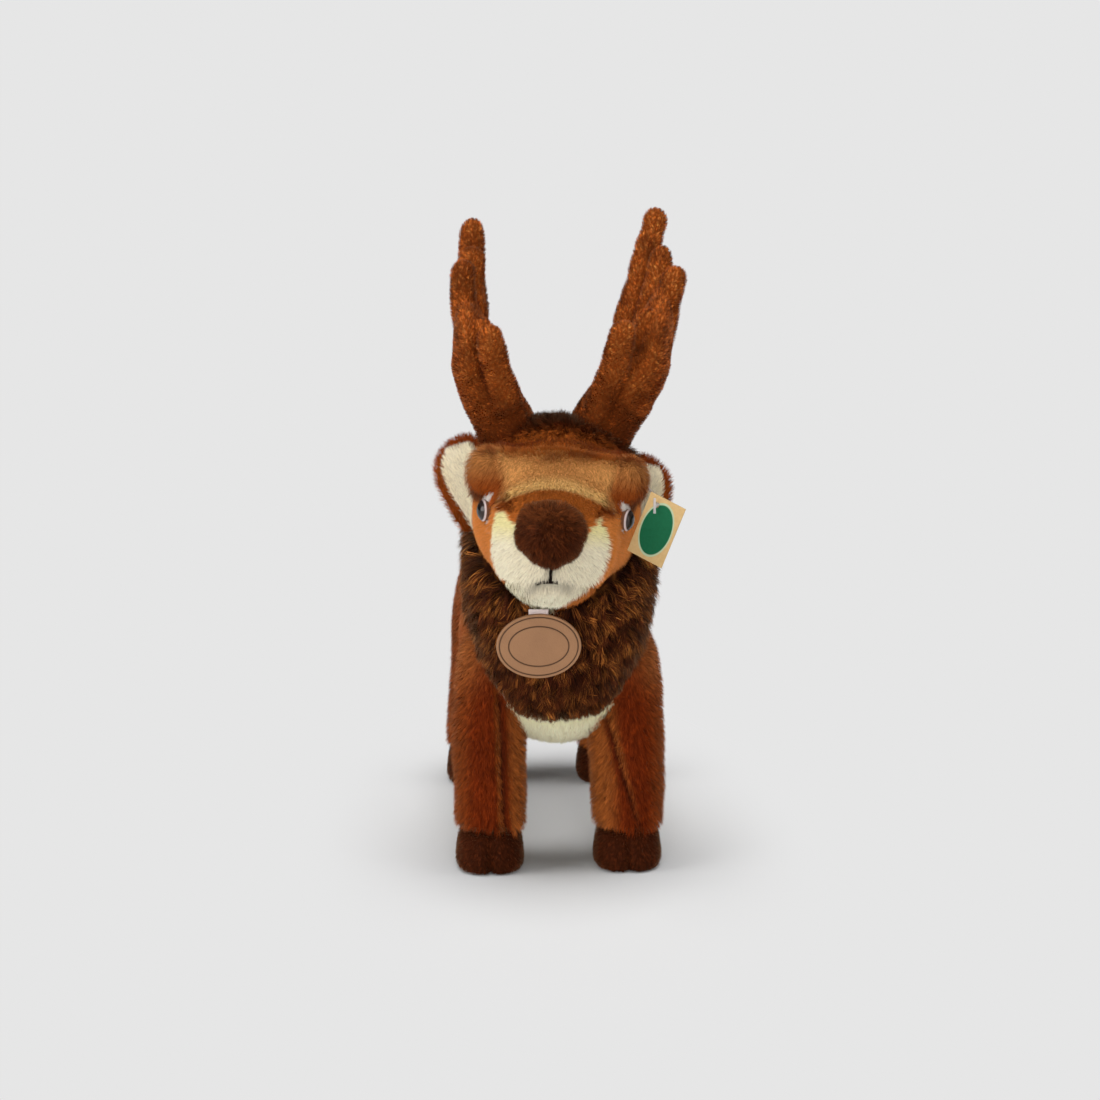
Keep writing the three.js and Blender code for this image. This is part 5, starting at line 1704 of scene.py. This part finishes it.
def antler_colour(side, dips):
    """Golden speckles on the front and the ridges as a painted sheen, with pale tips; painted shade in the
    hollows, and darker in patches and at the foot.
    """
    height = ANTLER["height"][side]
    deep = by(lambda at: dips(at.points))
    return colours(
        "antler",
        # painted sheen: golden speckles where the antler faces forward, most on the ridges
        ["antler_gold_sheen", 1, where(lambda at: waves(at.local * np.array([1, 1, 0.5]), 1.5, 111), -0.2, 1),
         where("behind", 0, -0.8), by(lambda at: 0.45 + 0.5 * ramp(deep(at, None), 0, -0.6))],
        # painted shade in the hollows between the tines
        ["antler_dark", 1, by(lambda at: ramp(deep(at, None), 0.1, 0.8))],
        ["antler_dark", 0.5, patchy(24, 112, 0, 1)],
        ["antler_dark", 0.85, where("z", 0.25 * height, 0)],
    )


def antler_flow(at):
    return heading(at, 0.4 * waves(at.local, 10, 113), 0.4 * waves(at.local, 10, 114), 1)


for number, side in enumerate(SIDES):
    antler_skin = fused(f"antler_skin_{side}", antler_surfaces(side), ANTLER["fused"])
    swell(antler_skin, ANTLER["swell"], number)
    dips = hollows(antler_skin, ANTLER["hollow_rounds"])
    coated(f"antler_{side}", antler_skin, "antler", antler_colour(side, dips), antler_flow,
           [f"antler_{side}", f"antler_filling_{side}"], outside(skull), antler_frame(side))

# Medallion, ribbon, card and tack


def oval_disc():
    """A disc with rounded edges and two fine rings, and how deep each point lies in a ring."""
    half_w, half_h, thick = MEDALLION["half_width"], MEDALLION["half_height"], MEDALLION["thickness"]
    edge, inmost = MEDALLION["edge"], 0.98 * MEDALLION["half_height"]
    around, coarse, fine = MEDALLION["grid"]
    angle = circle(around)
    rings, depths = [], []

    def ring(inset, y, depth=0.0):
        rings.append(np.stack([(half_w - inset) * np.cos(angle), np.full(around, y),
                               (half_h - inset) * np.sin(angle)], 1))
        depths.append(np.full(around, depth))

    start = MEDALLION["fine_from"]
    for inset in np.concatenate([np.linspace(inmost, start, coarse), np.linspace(start, 0, fine)[1:]]):
        depth = sum(bell(inset - at, wide) for at, wide in MEDALLION["rings"])
        round_off = edge - math.sqrt(edge**2 - max(0, edge - inset) ** 2)
        ring(inset, -thick / 2 + MEDALLION["groove"] * depth + round_off, depth)
    for inset, lift in ((0, edge), (edge * 0.3, edge * 0.3), (edge, 0), (inmost, 0)):
        ring(inset, thick / 2 - lift)
    points, faces = tube(rings, [[0, -thick / 2, 0], [0, thick / 2, 0]], turned=True)
    points = points + MEDALLION["seam"] - [0, 0, MEDALLION["below_seam"]]
    return points, faces, np.concatenate([*depths, [0, 0]])


def strap():
    """A short ribbon with rounded edges."""
    back = MEDALLION["thickness"] / 2 + RIBBON["gap"]
    low = MEDALLION["half_height"] - MEDALLION["below_seam"] - RIBBON["overlap"]
    around, along = RIBBON["grid"]
    half, thick, z = RIBBON["width"] / 2, RIBBON["thickness"] / 2, np.linspace(low, 0, along)
    x = half * squared(np.cos(circle(around)), 0.25)
    y = thick * squared(np.sin(circle(around)), 0.6) + back + thick
    rings = [np.stack([x, y, np.full(around, height)], 1) for height in z]
    points, faces = tube(rings, [[0, back + thick, z[0]], [0, back + thick, z[-1]]])
    return points + MEDALLION["seam"], faces


def card_look():
    """Kraft card with a bare green oval in a pale border."""
    nodes = Nodes("card")
    axes = turn("z", CARD["yaw"]) @ turn("y", CARD["lean"])
    low, high = (np.array(corner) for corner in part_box("ear_tag"))
    middle = nodes.vector("SUBTRACT", nodes.place(), (low + high) / 2)
    squares = []
    for axis, reach in ((axes[:, 0], CARD["oval_half_width"]), (axes[:, 2], CARD["oval_half_height"])):
        along = nodes.vector("DOT_PRODUCT", middle, axis / (reach * MM), output="Value")
        squares.append(nodes.maths("POWER", along, 2))
    apart = nodes.maths("SQRT", nodes.maths("ADD", *squares))
    fibre = nodes.noise(1.4, 8, 0.7)
    colour = nodes.mixed(fibre, linear(190, 150, 92), linear(222, 192, 140))
    green = nodes.mixed(fibre, linear(10, 84, 52), linear(22, 108, 70))
    for edge, soft, inner in ((1.05, 0.01, linear(178, 196, 160)), (0.97, 0.015, green)):
        colour = nodes.mixed(nodes.ranged(apart, edge + soft, edge - soft), colour, inner)
    nodes.join(colour, "Base Color")
    nodes.bump(fibre, 0.25, 0.2)
    return nodes.set(Roughness=0.7, Specular_IOR_Level=0.2)


points, faces, depths = oval_disc()
medallion = object_of("medallion_disc", points, faces)
paint(medallion, mix(linear(152, 110, 76)[None], linear(60, 36, 22)[None], np.clip(depths, 0, 1)))
stand_for(medallion, leather_look, "leather", "medallion", body="medallion_tag")
ribbon = object_of("ribbon_strap", *strap())
stand_for(ribbon, satin_look, "ribbon", "ribbon", body="medallion_tag")
for node, look in (("ear_tag", card_look()), ("tag_tack", plastic_look)):
    for slot in frame["nodes"][node].material_slots:
        slot.material = look
stand_for(mouth, thread_look, "thread", "mouth_thread")

# Floor, light and camera

BACKGROUND = linear(230, 230, 230)
FLOOR_REACH = 6000
FADE_SHAPE = [2.4, 1, 1]  # the fade is this much narrower across
FADE = [112, 305]  # how far off the floor turns into the plain background
AMBIENT = {"Color": (1, 1, 1), "Strength": 0.09}
# Each wide lamp: azimuth and elevation seen from the toy, share of the floor's light, and its spread
LAMPS = {
    "top": [0, 82, 0.46, 30], "high_left": [-90, 58, 0.11, 30], "high_right": [90, 58, 0.09, 30],
    "left": [-72, 13, 0.115, 40], "right": [70, 13, 0.05, 40], "front": [-5, 12, 0.085, 30],
}


def direction(azimuth, elevation):
    """Towards a place around the toy: azimuth 0 is in front, and grows to the toy's right side in view."""
    a, e = math.radians(azimuth), math.radians(elevation)
    return np.array([math.sin(a) * math.cos(e), -math.cos(a) * math.cos(e), math.sin(e)])


def stand(name, data, towards):
    """Places a lamp or a camera that looks against a direction."""
    made = bpy.data.objects.new(name, data)
    made.rotation_mode = "QUATERNION"
    made.rotation_quaternion = Vector(-towards).to_track_quat("-Z", "Y")
    bpy.context.scene.collection.objects.link(made)
    return made


def floor_look():
    """Pale where shadows fall, and the plain background further off."""
    nodes = Nodes("floor")
    nodes.set(Base_Color=(*BACKGROUND, 1), Roughness=1.0, Specular_IOR_Level=0.0)
    far = nodes.vector("LENGTH", nodes.vector("MULTIPLY", nodes.place(), FADE_SHAPE), output="Value")
    share = nodes.ranged(far, FADE[0] * MM, FADE[1] * MM, interpolation_type="SMOOTHSTEP")
    path = add_node(nodes.tree, "ShaderNodeLightPath").outputs
    seen = nodes.maths("MAXIMUM", path["Is Camera Ray"], path["Is Glossy Ray"])
    both = nodes.maths("MULTIPLY", seen, share)
    plain = nodes.add("ShaderNodeEmission", {"Color": BACKGROUND})
    blend = nodes.add("ShaderNodeMixShader", {0: both, 1: nodes.shader.outputs[0], 2: plain})
    nodes.tree.links.new(blend, nodes.tree.nodes["Material Output"].inputs["Surface"])
    return nodes.material


reach = FLOOR_REACH
corners = np.array([[-reach, -reach, 0], [reach, -reach, 0], [reach, reach, 0], [-reach, reach, 0]], float)
floor = object_of("floor", corners, [(0, 1, 2, 3)])
floor.data.materials.append(floor_look())

world = bpy.data.worlds.new("world")
bpy.context.scene.world = world
world.use_nodes = True
tree = world.node_tree
tree.nodes.clear()
path = add_node(tree, "ShaderNodeLightPath").outputs
either = add_node(tree, "ShaderNodeMath", {0: path["Is Camera Ray"], 1: path["Is Transmission Ray"]},
                  operation="MAXIMUM")
ambient = add_node(tree, "ShaderNodeBackground", AMBIENT)
seen = add_node(tree, "ShaderNodeBackground", {"Color": BACKGROUND})
parts = [node.outputs[0] for node in (either, ambient, seen)]
blend = add_node(tree, "ShaderNodeMixShader", dict(enumerate(parts)))
add_node(tree, "ShaderNodeOutputWorld", {"Surface": blend.outputs[0]})

for name, (azimuth, elevation, share, spread) in LAMPS.items():
    light = bpy.data.lights.new(name, "SUN")
    light.angle = math.radians(spread)
    light.energy = share * math.pi / math.sin(math.radians(elevation))
    stand(name, light, direction(azimuth, elevation))

back = direction(CAMERA["azimuth"], CAMERA["elevation"])
lens = bpy.data.cameras.new("camera")
lens.lens, lens.sensor_width = CAMERA["lens"], CAMERA["sensor"]
lens.clip_start, lens.clip_end = CAMERA["clip"]
camera = stand("camera", lens, back)
camera.location = to_part(np.array(CAMERA["target"]) + back * CAMERA["distance"])
bpy.context.scene.camera = camera
bpy.context.scene.view_settings.view_transform = "Standard"
